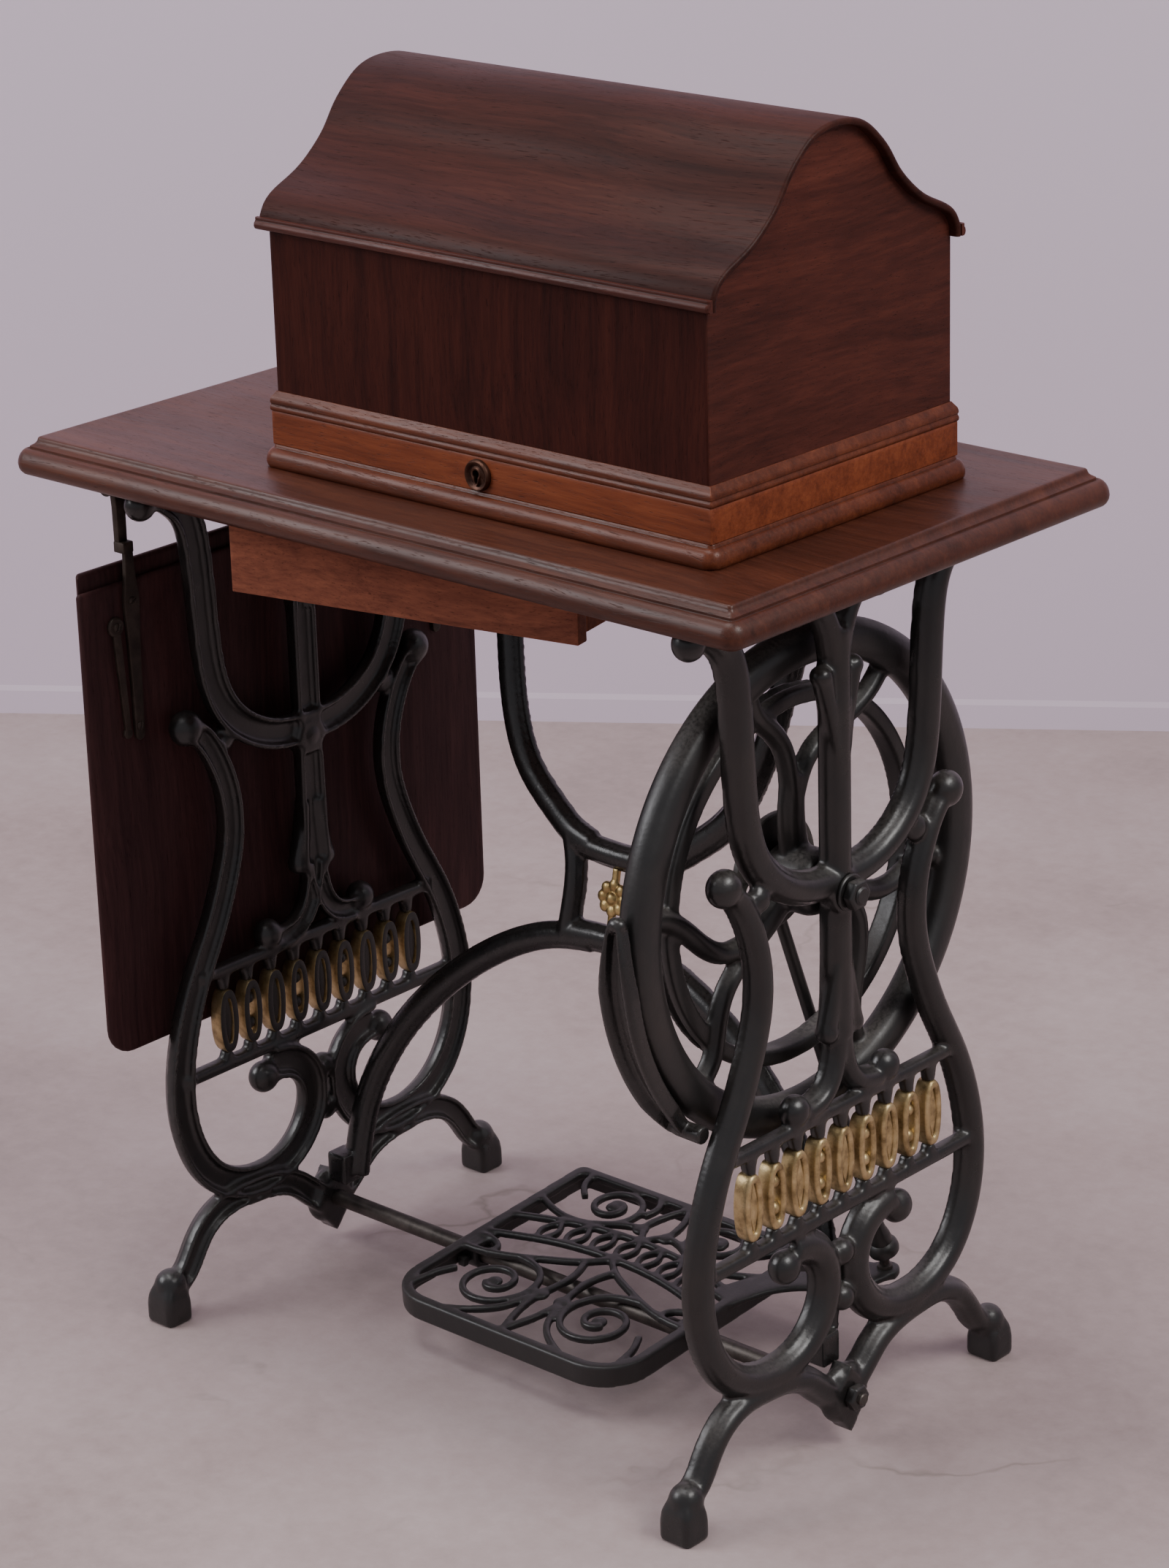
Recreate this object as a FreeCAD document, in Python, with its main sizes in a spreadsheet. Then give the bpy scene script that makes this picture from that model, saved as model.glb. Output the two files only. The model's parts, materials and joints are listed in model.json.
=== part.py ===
import FreeCAD, Part
import math
import os
import Sketcher

# Treadle sewing table: a moulded wooden top with a lift-off bonnet lid and a hanging side leaf,
# on two open cast-iron side frames with a leaning brace, a rocking treadle and a flywheel.
# Frame: +X to the sitter's right, +Y to the back, +Z up, millimetres, floor at Z = 0.

V = FreeCAD.Vector
doc = FreeCAD.newDocument("sewing_table")

SIZES = {
    # table top
    "top_length": 736, "top_depth": 442, "top_height": 750, "top_thick": 30,
    "top_step": 4, "top_step_in": 15, "top_corner": 12,
    # bonnet lid
    "lid_x": 73, "lid_y": -11, "lid_length": 426, "lid_depth": 272, "lid_wall": 12,
    "lid_eaves": 182, "lid_crown": 291, "roof_thick": 5, "roof_over": 8,
    "bead_height": 17, "bead_out": 11, "band_height": 26, "band_out": 4, "cove_height": 15, "cove_out": 5,
    "lock_x": 70, "lock_height": 29.6,
    # hanging leaf
    "leaf_face": 298, "leaf_thick": 17, "leaf_top": 648, "leaf_width": 408, "leaf_corner": 25,
    "leaf_pivot_x": 303, "leaf_pivot_z": 714, "leaf_arm_y": 170, "leaf_tongue": 14, "leaf_stay_y": 17,
    # swing drawer
    "drawer_length": 305, "drawer_depth": 180, "drawer_bottom": 655, "drawer_front": 13,
    "drawer_side": 9, "drawer_open": 11.7,
    # side frames
    "frame_mid": 281, "frame_thick": 20, "frame_y": -4, "bar_width": 29, "foot_out": 189,
    # rod, treadle, pitman
    "rod_z": 44, "rod_radius": 7, "treadle_left": 115, "treadle_right": 139, "treadle_front": 106,
    "treadle_back": 142, "treadle_thick": 7, "treadle_skirt": 12, "treadle_tilt": 4,
    # wheel
    "wheel_x": 247, "wheel_z": 463, "wheel_radius": 200, "wheel_bore": 7.06, "belt_radius": 148,
    # brace
    "brace_lean": 11.3, "brace_bar": 25, "brace_thick": 14,
}

sheet = doc.addObject("Spreadsheet::Sheet", "Sizes")
for row, (alias, value) in enumerate(SIZES.items(), start=1):
    sheet.set("A%d" % row, alias)
    sheet.set("B%d" % row, str(value))
    sheet.setAlias("B%d" % row, alias)
doc.recompute()

NODES = {}
CAST_TURN = FreeCAD.Rotation(V(1, 1, 1), 120)


def size(alias):
    return float(sheet.get(alias))


def put(feature, x, y, z):
    """place a feature by three sheet expressions"""
    for axis, text in zip("xyz", (x, y, z)):
        feature.setExpression("Placement.Base." + axis, text)


def node(name, feature):
    feature.Label = name
    NODES[name] = feature
    return feature


# ---------------------------------------------------------------- PartDesign boards

def sketch_on(body, name, role):
    sketch = body.newObject("Sketcher::SketchObject", name)
    plane = [item for item in body.Origin.OriginFeatures if item.Role == role][0]
    sketch.AttachmentSupport = [(plane, "")]
    sketch.MapMode = "FlatFace"
    return sketch


def centred_rectangle(sketch, length, depth):
    """a rectangle centred on the sketch origin, its two sizes bound to expressions"""
    corners = [V(-10, -10, 0), V(10, -10, 0), V(10, 10, 0), V(-10, 10, 0)]
    first = sketch.GeometryCount
    for i in range(4):
        sketch.addGeometry(Part.LineSegment(corners[i], corners[(i + 1) % 4]), False)
    for i in range(4):
        sketch.addConstraint(Sketcher.Constraint("Coincident", first + i, 2, first + (i + 1) % 4, 1))
    for i, kind in enumerate(("Horizontal", "Vertical", "Horizontal", "Vertical")):
        sketch.addConstraint(Sketcher.Constraint(kind, first + i))
    sketch.addConstraint(Sketcher.Constraint("Symmetric", first, 1, first + 2, 1, -1, 1))
    for line, text in ((first, length), (first + 1, depth)):
        at = sketch.addConstraint(Sketcher.Constraint("Distance", line, 20))
        sketch.setExpression("Constraints[%d]" % at, text)


def pad(body, sketch, name, height):
    feature = body.newObject("PartDesign::Pad", name)
    feature.Profile = sketch
    feature.setExpression("Length", height)
    sketch.Visibility = False
    return feature


def dress(body, base, kind, radius, wanted):
    """fillet or chamfer the edges of base that wanted() picks"""
    doc.recompute()
    names = ["Edge%d" % i for i, edge in enumerate(base.Shape.Edges, start=1) if wanted(edge)]
    feature = body.newObject("PartDesign::" + kind, base.Name + kind)
    feature.Base = (base, names)
    if kind == "Fillet":
        feature.Radius = radius
    else:
        feature.Size = radius
    body.Tip = feature
    doc.recompute()
    return feature


def is_upright(edge):
    box = edge.BoundBox
    return box.ZLength > 1 and box.XLength < 0.01 and box.YLength < 0.01


def at_level(level):
    """picks the edges that lie flat at one height of the body's own frame"""
    return lambda edge: abs(edge.BoundBox.ZMin - level) < 0.01 and abs(edge.BoundBox.ZMax - level) < 0.01


def board(name, length, depth, height, x, y, z, soften=1.0):
    """a plain board, its upper edges eased"""
    body = doc.addObject("PartDesign::Body", name)
    outline = sketch_on(body, name + "_outline", "XY_Plane")
    centred_rectangle(outline, length, depth)
    solid = pad(body, outline, name + "_pad", height)
    doc.recompute()
    if soften:
        dress(body, solid, "Fillet", soften, at_level(solid.Shape.BoundBox.ZMax))
    put(body, x, y, z)
    return node(name, body)


def collar(name, outer_x, outer_y, inner_x, inner_y, height, x, y, z):
    """a rectangular ring of moulding or band"""
    body = doc.addObject("PartDesign::Body", name)
    outline = sketch_on(body, name + "_outline", "XY_Plane")
    centred_rectangle(outline, outer_x, outer_y)
    centred_rectangle(outline, inner_x, inner_y)
    solid = pad(body, outline, name + "_pad", height)
    doc.recompute()
    put(body, x, y, z)
    node(name, body)
    return body, solid


def outer_edge(half_length, half_depth, level):
    """picks the outside edges of a ring at one level"""
    def wanted(edge):
        box = edge.BoundBox
        far = abs(abs(box.XMin) - half_length) < 0.1 and box.XLength < 0.1
        deep = abs(abs(box.YMin) - half_depth) < 0.1 and box.YLength < 0.1
        return at_level(level)(edge) and (far or deep)
    return wanted


# ---------------------------------------------------------------- Part primitives

def prim(kind, name, at, turn=None, **dims):
    feature = doc.addObject("Part::" + kind, name)
    for prop, value in dims.items():
        if isinstance(value, str):
            feature.setExpression(prop, value)
        else:
            setattr(feature, prop, value)
    put(feature, *[str(value) for value in at])
    if turn:
        feature.Placement.Rotation = FreeCAD.Rotation(turn[0], turn[1])
    return feature


def cylinder(name, radius, height, at, axis="z"):
    turns = {"x": (V(0, 1, 0), 90), "y": (V(1, 0, 0), -90), "z": None}
    return prim("Cylinder", name, at, turns[axis], Radius=radius, Height=height)


def box(name, length, width, height, at):
    return prim("Box", name, at, None, Length=length, Width=width, Height=height)


def fused(name, parts):
    feature = doc.addObject("Part::MultiFuse", name)
    feature.Shapes = parts
    return feature


def cut(name, base, tool):
    feature = doc.addObject("Part::Cut", name)
    feature.Base = base
    feature.Tool = tool
    return feature


# ---------------------------------------------------------------- casting shapes

def curve(points):
    line = Part.BSplineCurve()
    line.interpolate(points)
    return line


def strap(points, width, thick, lift=0.0, steps=3):
    """a flat cast bar that follows a smooth path in the local XY plane"""
    path = curve([V(u, v, lift) for u, v in points])
    count = steps * (len(points) - 1)
    left, right = [], []
    for i in range(count + 1):
        t = path.FirstParameter + (path.LastParameter - path.FirstParameter) * i / count
        side = path.tangent(t)[0].cross(V(0, 0, 1)) * (width / 2)
        left.append(path.value(t) + side)
        right.append(path.value(t) - side)
    right.reverse()
    edges = [curve(left).toShape(), Part.makeLine(left[-1], right[0]),
             curve(right).toShape(), Part.makeLine(right[-1], left[0])]
    return Part.Face(Part.Wire(edges)).extrude(V(0, 0, thick))


def disc(u, v, radius, thick, lift=0.0):
    return Part.makeCylinder(radius, thick, V(u, v, lift))


def plate(points, thick, lift=0.0):
    corners = [V(u, v, lift) for u, v in points]
    return Part.Face(Part.makePolygon(corners + corners[:1])).extrude(V(0, 0, thick))


def block(u0, u1, v0, v1, thick, lift=0.0):
    return plate([(u0, v0), (u1, v0), (u1, v1), (u0, v1)], thick, lift)


def mirrored(shapes):
    """the shapes and their mirror images across the local X = 0 plane"""
    return shapes + [shape.mirror(V(0, 0, 0), V(1, 0, 0)) for shape in shapes]


def weld(shapes):
    return shapes[0].multiFuse(shapes[1:]).removeSplitter()


def casting(name, shape, placement=None):
    feature = doc.addObject("Part::Feature", name)
    feature.Shape = shape
    if placement:
        feature.Placement = placement
    return node(name, feature)


# ---------------------------------------------------------------- wooden top

def table_top():
    body = doc.addObject("PartDesign::Body", "table_top")
    outline = sketch_on(body, "top_outline", "XY_Plane")
    centred_rectangle(outline, "Sizes.top_length", "Sizes.top_depth")
    slab = pad(body, outline, "top_slab", "Sizes.top_thick - Sizes.top_step")
    corners = dress(body, slab, "Fillet", size("top_corner"), is_upright)
    level = size("top_thick") - size("top_step")
    top_round = dress(body, corners, "Fillet", 10, at_level(level))
    nose = dress(body, top_round, "Fillet", 8, at_level(0))
    step = sketch_on(body, "step_outline", "XY_Plane")
    centred_rectangle(step, "Sizes.top_length - 2 * Sizes.top_step_in",
                      "Sizes.top_depth - 2 * Sizes.top_step_in")
    raised = pad(body, step, "top_step_pad", "Sizes.top_thick")
    dress(body, raised, "Chamfer", 1.5, at_level(size("top_thick")))
    put(body, "0", "0", "Sizes.top_height - Sizes.top_thick")
    return node("table_top", body)


# ---------------------------------------------------------------- bonnet lid

ROOF_HALF = [(0.0, 1.0), (0.09, 0.992), (0.22, 0.94), (0.325, 0.84), (0.415, 0.72), (0.49, 0.585),
             (0.58, 0.47), (0.69, 0.365), (0.80, 0.295), (0.90, 0.235), (0.965, 0.165), (1.0, 0.08)]


def roof_section(inset):
    """the roof's cross-section curve, from one drip edge to the other"""
    reach = size("lid_depth") / 2 + 3 - inset
    eaves = size("lid_eaves")
    rise = size("lid_crown") - eaves - inset
    right = [V(0, reach * u, eaves + rise * v) for u, v in ROOF_HALF]
    left = [V(0, -p.y, p.z) for p in reversed(right[1:])]
    return curve(left + right).toShape()


def roof_shell():
    outer = roof_section(0)
    inner = roof_section(size("roof_thick"))
    low = size("lid_eaves")
    ends = []
    for side in (-1, 1):
        tip = sorted((v.Point for v in outer.Vertexes), key=lambda p: p.y * side)[-1]
        root = sorted((v.Point for v in inner.Vertexes), key=lambda p: p.y * side)[-1]
        ends.append([Part.makeLine(tip, V(0, tip.y, low)), Part.makeLine(V(0, tip.y, low), V(0, root.y, low)),
                     Part.makeLine(V(0, root.y, low), root)])
    edges = [outer, inner] + ends[0] + ends[1]
    wire = Part.Wire(Part.__sortEdges__(edges))
    length = size("lid_length") + 2 * size("roof_over")
    shell = Part.Face(wire).extrude(V(length, 0, 0))
    return casting("lid_roof", shell, FreeCAD.Placement(
        V(size("lid_x") - length / 2, size("lid_y"), size("top_height")), FreeCAD.Rotation()))


def lid_end(name, side):
    """a gable end whose top edge follows the underside of the roof"""
    arch = roof_section(size("roof_thick") + 0.1)
    wall = size("lid_wall")
    half = size("lid_depth") / 2
    points = arch.discretize(60)
    inside = [p for p in points if abs(p.y) < half - 3]
    top = curve(inside).toShape()
    first, last = inside[0], inside[-1]
    far = half if last.y > 0 else -half
    eaves = size("lid_eaves")
    outline = [last, V(0, last.y, eaves), V(0, far, eaves), V(0, far, 0), V(0, -far, 0), V(0, -far, eaves),
               V(0, first.y, eaves), first]
    sides = [Part.makeLine(outline[i], outline[i + 1]) for i in range(len(outline) - 1)]
    face = Part.Face(Part.Wire([top] + sides))
    x = size("lid_x") + side * (size("lid_length") / 2) - (wall if side > 0 else 0)
    return casting(name, face.extrude(V(wall, 0, 0)),
                   FreeCAD.Placement(V(x, size("lid_y"), size("top_height")), FreeCAD.Rotation()))


def lid():
    inner = "Sizes.lid_length - 2 * Sizes.lid_wall"
    for name, sign in (("lid_front", "-"), ("lid_back", "+")):
        board(name, inner, "Sizes.lid_wall", "Sizes.lid_eaves - 0.5", "Sizes.lid_x",
              "Sizes.lid_y %s (Sizes.lid_depth - Sizes.lid_wall) / 2" % sign, "Sizes.top_height", 0)
    lid_end("lid_end_left", -1)
    lid_end("lid_end_right", 1)
    roof_shell()
    rings = (("lid_bead", "bead_out", "0", "bead_height"),
             ("lid_band", "band_out", "Sizes.bead_height", "band_height"),
             ("lid_cove", "cove_out", "Sizes.bead_height + Sizes.band_height", "cove_height"))
    for name, out, level, height in rings:
        body, solid = collar(
            name, "Sizes.lid_length + 2 * Sizes." + out, "Sizes.lid_depth + 2 * Sizes." + out,
            "Sizes.lid_length", "Sizes.lid_depth", "Sizes." + height,
            "Sizes.lid_x", "Sizes.lid_y", "Sizes.top_height + " + level)
        half_x = size("lid_length") / 2 + size(out)
        half_y = size("lid_depth") / 2 + size(out)
        top = size(height)
        if name == "lid_bead":
            upper = dress(body, solid, "Fillet", 8, outer_edge(half_x, half_y, top))
            dress(body, upper, "Fillet", 6, outer_edge(half_x, half_y, 0))
        if name == "lid_cove":
            dress(body, solid, "Chamfer", 4, outer_edge(half_x, half_y, top))
    for name, sign in (("roof_bead_front", "-"), ("roof_bead_back", "+")):
        shift = "Sizes.lid_y %s (Sizes.lid_depth / 2 + 3 + 3)" % sign
        board(name, "Sizes.lid_length + 2 * Sizes.roof_over", "6", "9", "Sizes.lid_x", shift,
              "Sizes.top_height + Sizes.lid_eaves", 2.5)
    lock()


def lock():
    front = "Sizes.lid_y - Sizes.lid_depth / 2 - Sizes.band_out"
    level = "Sizes.top_height + Sizes.lock_height"
    rim = cylinder("lock_rim", 12, 4, ("Sizes.lock_x", front + " - 4", level), "y")
    slot = fused("key_slot", [
        cylinder("key_round", 3, 10, ("Sizes.lock_x", front + " - 6", level + " + 3"), "y"),
        box("key_blade", "2.6", "10", "9", ("Sizes.lock_x - 1.3", front + " - 6", level + " - 7"))])
    node("key_escutcheon", cut("escutcheon", rim, slot))
    node("lock_case", box("lock_box", "50", "10", "36", (
        "Sizes.lock_x - 25", "Sizes.lid_y - Sizes.lid_depth / 2 + Sizes.lid_wall",
        "Sizes.top_height + 6")))


# ---------------------------------------------------------------- hanging leaf

def leaf():
    """the drop leaf hangs beside the left frame; its upper edge is stepped to meet the top's moulding"""
    thick, width, corner = size("leaf_thick"), size("leaf_width"), size("leaf_corner")
    tongue = size("leaf_tongue")
    half = size("top_depth") / 2
    main = Part.makeBox(thick, 2 * half, width - tongue, V(0, -half, 0))
    sides = [edge for edge in main.Edges if edge.BoundBox.XLength > 1 and edge.BoundBox.ZMax < 1]
    main = main.makeFillet(corner, sides)
    lip = Part.makeBox(thick - 9, 2 * half - 8, tongue + 1, V(0, 4 - half, width - tongue - 1))
    outer = -size("leaf_face") - thick
    casting("drop_leaf", weld([main, lip]), FreeCAD.Placement(
        V(outer, 0, size("leaf_top") - width), FreeCAD.Rotation()))
    for name, sign in (("front", -1), ("back", 1)):
        leaf_ironwork(name, sign)


def leaf_ironwork(name, sign):
    y = sign * size("leaf_arm_y")
    px, pz, face = size("leaf_pivot_x"), size("leaf_pivot_z"), size("leaf_face")
    under = size("top_height") - size("top_thick")
    # bracket: a foot under the top with two cheeks that hold the pin
    foot = Part.makeBox(26, 34, 1.5, V(-px - 20, y - 17, under - 1.5))
    cheeks = []
    for side in (-1, 1):
        cheek = Part.makeCylinder(8, 5, V(-px, y + side * 10.5 - 2.5, pz - 1.5), V(0, 1, 0))
        cheek = cheek.common(Part.makeBox(60, 60, 40, V(-px - 30, y - 30, under - 40)))
        cheeks.append(cheek)
    hole = Part.makeCylinder(2.55, 40, V(-px, y - 20, pz), V(0, 1, 0))
    casting("leaf_bracket_" + name, weld([foot] + cheeks).cut(hole))
    pin = Part.makeCylinder(2.5, 28, V(-px, y - 14, pz), V(0, 1, 0))
    casting("leaf_pin_" + name, pin)
    # arm: an eye on the pin, a blade down to the leaf and a long tail screwed to it
    eye = Part.makeCylinder(4.3, 14, V(-px, y - 7, pz), V(0, 1, 0))
    neck = Part.makeBox(6, 14, 50, V(-px - 3, y - 7, pz - 52))
    blade_outline = [(-5, -50), (5, -50), (6, -80), (8, -96), (6.5, -130), (5, -208), (-5, -208),
                     (-6.5, -130), (-8, -96), (-6, -80)]
    blade = plate(blade_outline, 4.0)
    blade.rotate(V(0, 0, 0), V(1, 0, 0), 90)
    blade.rotate(V(0, 0, 0), V(0, 0, 1), 90)
    blade.translate(V(-face, y, pz))
    joggle = Part.makeBox(px - face + 7, 14, 8, V(-px - 3, y - 7, pz - 56))
    bore = Part.makeCylinder(2.56, 40, V(-px, y - 20, pz), V(0, 1, 0))
    casting("leaf_arm_" + name, weld([eye, neck, joggle, blade]).cut(bore))
    # stay: a slim strip beside the blade with a round head
    lean = sign * size("leaf_stay_y")
    foot_y = sign * 11.5
    strip = plate([(lean - 4, -118), (lean + 4, -118), (foot_y + 3, -202), (foot_y - 3, -202)], 3.0)
    head = disc(lean, -114, 8, 3.5)
    tail = disc(foot_y, -204, 4.5, 3.0)
    stay = weld([strip, head, tail])
    stay.rotate(V(0, 0, 0), V(1, 0, 0), 90)
    stay.rotate(V(0, 0, 0), V(0, 0, 1), 90)
    stay.translate(V(-face, y, pz))
    casting("leaf_stay_" + name, stay)
    screws = [(y, pz - 200, 4.0), (y, pz - 96, 4.0), (y + lean, pz - 114, 3.5)]
    heads = [Part.makeCylinder(3.6, 1.6, V(lift - face, sy, sz), V(1, 0, 0)) for sy, sz, lift in screws]
    casting("leaf_screws_" + name, Part.makeCompound(heads))


# ---------------------------------------------------------------- swing drawer

def drawer():
    """a shallow drawer that swings out on an upright pin, standing a little open"""
    length, depth = size("drawer_length"), size("drawer_depth")
    front, side = size("drawer_front"), size("drawer_side")
    base = size("drawer_bottom")
    height = size("top_height") - size("top_thick") - base - 2
    turn = FreeCAD.Rotation(V(0, 0, 1), size("drawer_open"))
    here = FreeCAD.Placement(V(-162, -185, base), turn)
    floor = 7.0
    walls = {
        "drawer_front": (0, length, 0, front, 0, height),
        "drawer_left": (0, side, front, depth, floor, height - 4),
        "drawer_right": (length - side, length, front, depth, floor, height - 4),
        "drawer_back": (side, length - side, depth - side, depth, floor, height - 4),
        "drawer_floor": (side, length - side, front, depth - side, floor, floor + 5),
        "drawer_block": (length - side - 24, length - side, depth - side - 24, depth - side,
                         floor + 5, height - 4),
    }
    pin_u, pin_v = length - side - 12, depth - side - 12
    bore = Part.makeCylinder(4.06, 200, V(pin_u, pin_v, -50))
    for name, (u0, u1, v0, v1, w0, w1) in walls.items():
        shape = Part.makeBox(u1 - u0, v1 - v0, w1 - w0, V(u0, v0, w0))
        if name in ("drawer_block", "drawer_floor"):
            shape = shape.cut(bore)
        casting(name, shape, here)
    stem = Part.makeCylinder(4, height + 2 - 3, V(pin_u, pin_v, 3))
    head = Part.makeCylinder(11, 3.5, V(pin_u, pin_v, floor - 4))
    casting("drawer_pin", weld([stem, head]), here)


# ---------------------------------------------------------------- side frames

LYRE = [(148, 705), (123, 684), (112, 645), (109, 600), (106, 560), (99, 528), (85, 504), (62, 485),
        (34, 474), (0, 471)]
PEAR = [(124, 494), (110, 478), (97, 455), (91, 424), (93, 395), (102, 365), (118, 328), (141, 285),
        (157, 242), (164, 203), (162, 167), (151, 135), (130, 109), (101, 95), (71, 93), (46, 101),
        (26, 120), (17, 145), (22, 168), (40, 184), (60, 188)]
LEG = [(189, 27), (172, 38), (160, 55), (144, 73), (122, 83), (95, 84), (68, 81), (44, 72), (26, 57), (10, 44)]
TOP_HOOK = [(2, 640), (8, 668), (22, 690), (40, 699)]
LOW_HOOK = [(2, 352), (6, 325), (20, 303), (44, 296)]


def frame_shape(with_hub):
    thick, bar = size("frame_thick"), size("bar_width")
    rod, hub = size("rod_z"), size("wheel_z")
    under = size("top_height") - size("top_thick")
    lift = -thick / 2
    half = [
        strap(LYRE, bar - 4, thick, lift), disc(163, 698, 14, thick, lift),
        strap(PEAR, bar - 1, thick, lift), disc(130, 504, 14.5, thick, lift), disc(91, 482, 15, thick, lift),
        disc(68, 179, 14, thick, lift),
        strap(LEG, 21, thick, lift), strap(TOP_HOOK, 20, thick, lift), disc(47, 690, 12, thick, lift),
        strap(LOW_HOOK, 18, thick, lift), disc(54, 302, 13, thick, lift),
        disc(17, 622, 8, thick, lift), disc(19, 345, 8, thick, lift),
        block(118, 165, under - 14, under, thick, lift),
        block(size("foot_out") - 13.5, size("foot_out") + 13.5, 0, 36, 30, -15),
        disc(size("foot_out"), 30, 14.5, 26, -13),
    ]
    shapes = mirrored(half)
    shapes += [
        block(-12, 12, 470, 660, thick, lift), block(-12.5, 12.5, 340, 470, thick, lift),
        block(-134, 134, 283, 293, thick - 6, lift + 3), block(-156, 156, 198, 210, thick - 6, lift + 3),
        disc(0, 165, 10, thick, lift), disc(0, 125, 10, thick, lift),
        disc(0, rod, 24, thick, lift), plate([(-20, 44), (0, 12), (20, 44), (0, 70)], thick, lift),
        disc(0, hub, 25, thick, lift),
    ]
    for i in range(9):
        u = (i - 4) * 27.0
        stub = block(u - 4, u + 4, 205, 216, thick - 10, lift + 5)
        shapes += [stub, block(u - 4, u + 4, 271, 288, thick - 10, lift + 5)]
    casting_shape = weld(shapes)
    casting_shape = casting_shape.cut(Part.makeCylinder(5.05, 60, V(0, rod, -30)))
    if with_hub:
        casting_shape = casting_shape.cut(Part.makeCylinder(7.05, 60, V(0, hub, -30)))
    return casting_shape


def ornament(u, pierced):
    """one gilded leaf-shaped ornament, standing between its two stubs"""
    low, high, half = 216.0, 271.0, 10.5
    mid = (low + high) / 2
    right = curve([V(4, low, 0), V(half, mid - 12, 0), V(half, mid + 12, 0), V(4, high, 0)]).toShape()
    left = curve([V(-4, high, 0), V(-half, mid + 12, 0), V(-half, mid - 12, 0), V(-4, low, 0)]).toShape()
    face = Part.Face(Part.Wire([right, Part.makeLine(V(4, high, 0), V(-4, high, 0)), left,
                                Part.makeLine(V(-4, low, 0), V(4, low, 0))]))
    solid = face.extrude(V(0, 0, 14))
    if pierced:
        solid = solid.cut(plate([(-4, mid), (0, mid - 17), (4, mid), (0, mid + 17)], 20, -3))
    else:
        for level in (mid - 13, mid + 13):
            solid = solid.cut(disc(0, level, 4, 20, -3))
    solid.translate(V(u, 0, -7))
    return solid


def side_frames():
    y = size("frame_y")
    for name, side in (("left", -1), ("right", 1)):
        place = FreeCAD.Placement(V(side * size("frame_mid"), y, 0), CAST_TURN)
        casting("side_frame_" + name, frame_shape(side > 0), place)
        row_of = [ornament((i - 4) * 27.0, i % 2 == 0) for i in range(9)]
        casting("ornaments_" + name, Part.makeCompound(row_of), place)
        nut = hexagon(11, 9)
        nut = nut.cut(Part.makeCylinder(5.05, 30, V(0, 0, -5)))
        out = side * (size("frame_mid") + size("frame_thick") / 2)
        turn = FreeCAD.Rotation(V(0, 1, 0), 90 * side)
        casting("rod_nut_" + name, nut, FreeCAD.Placement(V(out, y, size("rod_z")), turn))


def hexagon(radius, height):
    points = [(radius * math.cos(math.radians(60 * i)), radius * math.sin(math.radians(60 * i)))
              for i in range(6)]
    return plate(points, height)


def table_lugs():
    """angle lugs that hold the frames to the underside of the top, each with one screw"""
    under = size("top_height") - size("top_thick")
    inner = size("frame_mid") - size("frame_thick") / 2
    screws = []
    for side_name, side in (("left", -1), ("right", 1)):
        for end, sign in (("front", -1), ("back", 1)):
            x0 = -inner if side < 0 else inner - 24
            y = size("frame_y") + sign * 140
            lug = Part.makeBox(24, 26, 5, V(x0, y - 13, under - 5))
            casting("frame_lug_%s_%s" % (side_name, end), lug)
            screws.append(Part.makeCylinder(4.5, 2, V(x0 + 12, y, under - 7)))
    casting("lug_screws", Part.makeCompound(screws))


# ---------------------------------------------------------------- leaning brace

BRACE_UP = [(30, 402), (50, 408), (72, 422), (105, 450), (128, 494), (142, 552), (152, 610), (158, 660),
            (161, 716)]
BRACE_DOWN = [(20, 328), (60, 322), (99, 307), (144, 279), (188, 240), (226, 190), (249, 132), (254, 70)]


def brace():
    """an X-shaped casting that leans back from the rod lugs to the underside of the top"""
    bar, thick = size("brace_bar"), size("brace_thick")
    lean = math.radians(size("brace_lean"))
    lift = -thick / 2
    stretch = 1 / math.cos(lean)
    low = 50.0

    def leaned(points):
        return [(u, (v - low) * stretch) for u, v in points]

    half = [strap(leaned(BRACE_UP), bar, thick, lift), strap(leaned(BRACE_DOWN), bar, thick, lift),
            plate(leaned([(36, 318), (60, 318), (56, 366), (60, 410), (36, 408), (34, 366)]), thick, lift)]
    bars = mirrored(half)
    bars += [plate(leaned([(-40, 390), (40, 390), (40, 408), (18, 418), (-18, 418), (-40, 408)]), thick, lift),
             plate(leaned([(-40, 316), (40, 316), (40, 342), (-40, 342)]), thick, lift)]
    shape = weld(bars)
    shape.rotate(V(0, 0, 0), V(1, 0, 0), 90 - size("brace_lean"))
    shape.translate(V(0, size("frame_y"), low))
    under = size("top_height") - size("top_thick")
    shape = shape.common(Part.makeBox(800, 800, under - 3 - 40, V(-400, -400, 40)))
    back = size("frame_y") + (under - low) * math.tan(lean)
    reach = size("frame_mid") - size("frame_thick") / 2
    pads = []
    for side in (-1, 1):
        pads.append(Part.makeBox(44, 42, 6, V(side * 161 - 22, back - 25, under - 6)))
        x0 = side * 250 if side > 0 else -reach
        pads.append(Part.makeBox(reach - 250, 20, 26, V(x0, size("frame_y") - 10, 64)))
    casting("centre_brace", weld([shape] + pads))
    boss = hexagon(13, 10)
    boss = boss.multiFuse([disc(0, 0, 17, 6, 2)]).removeSplitter()
    boss.translate(V(0, 0, -5))
    reach_up = 24.0 * stretch
    tilt = FreeCAD.Rotation(V(1, 0, 0), 90 - size("brace_lean"))
    middle = 366.0
    y = size("frame_y") + (middle - low) * math.tan(lean)
    stem_low = block(-3, 3, -reach_up, -10, 6, -3)
    stem_high = block(-3, 3, 10, reach_up, 6, -3)
    trimmed = weld([boss, stem_low, stem_high])
    casting("brace_ornament", trimmed, FreeCAD.Placement(V(0, y, middle), tilt))
    screws = [Part.makeCylinder(5, 2.5, V(side * 161, back - 17, under - 8.5)) for side in (-1, 1)]
    casting("brace_screws", Part.makeCompound(screws))


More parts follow.
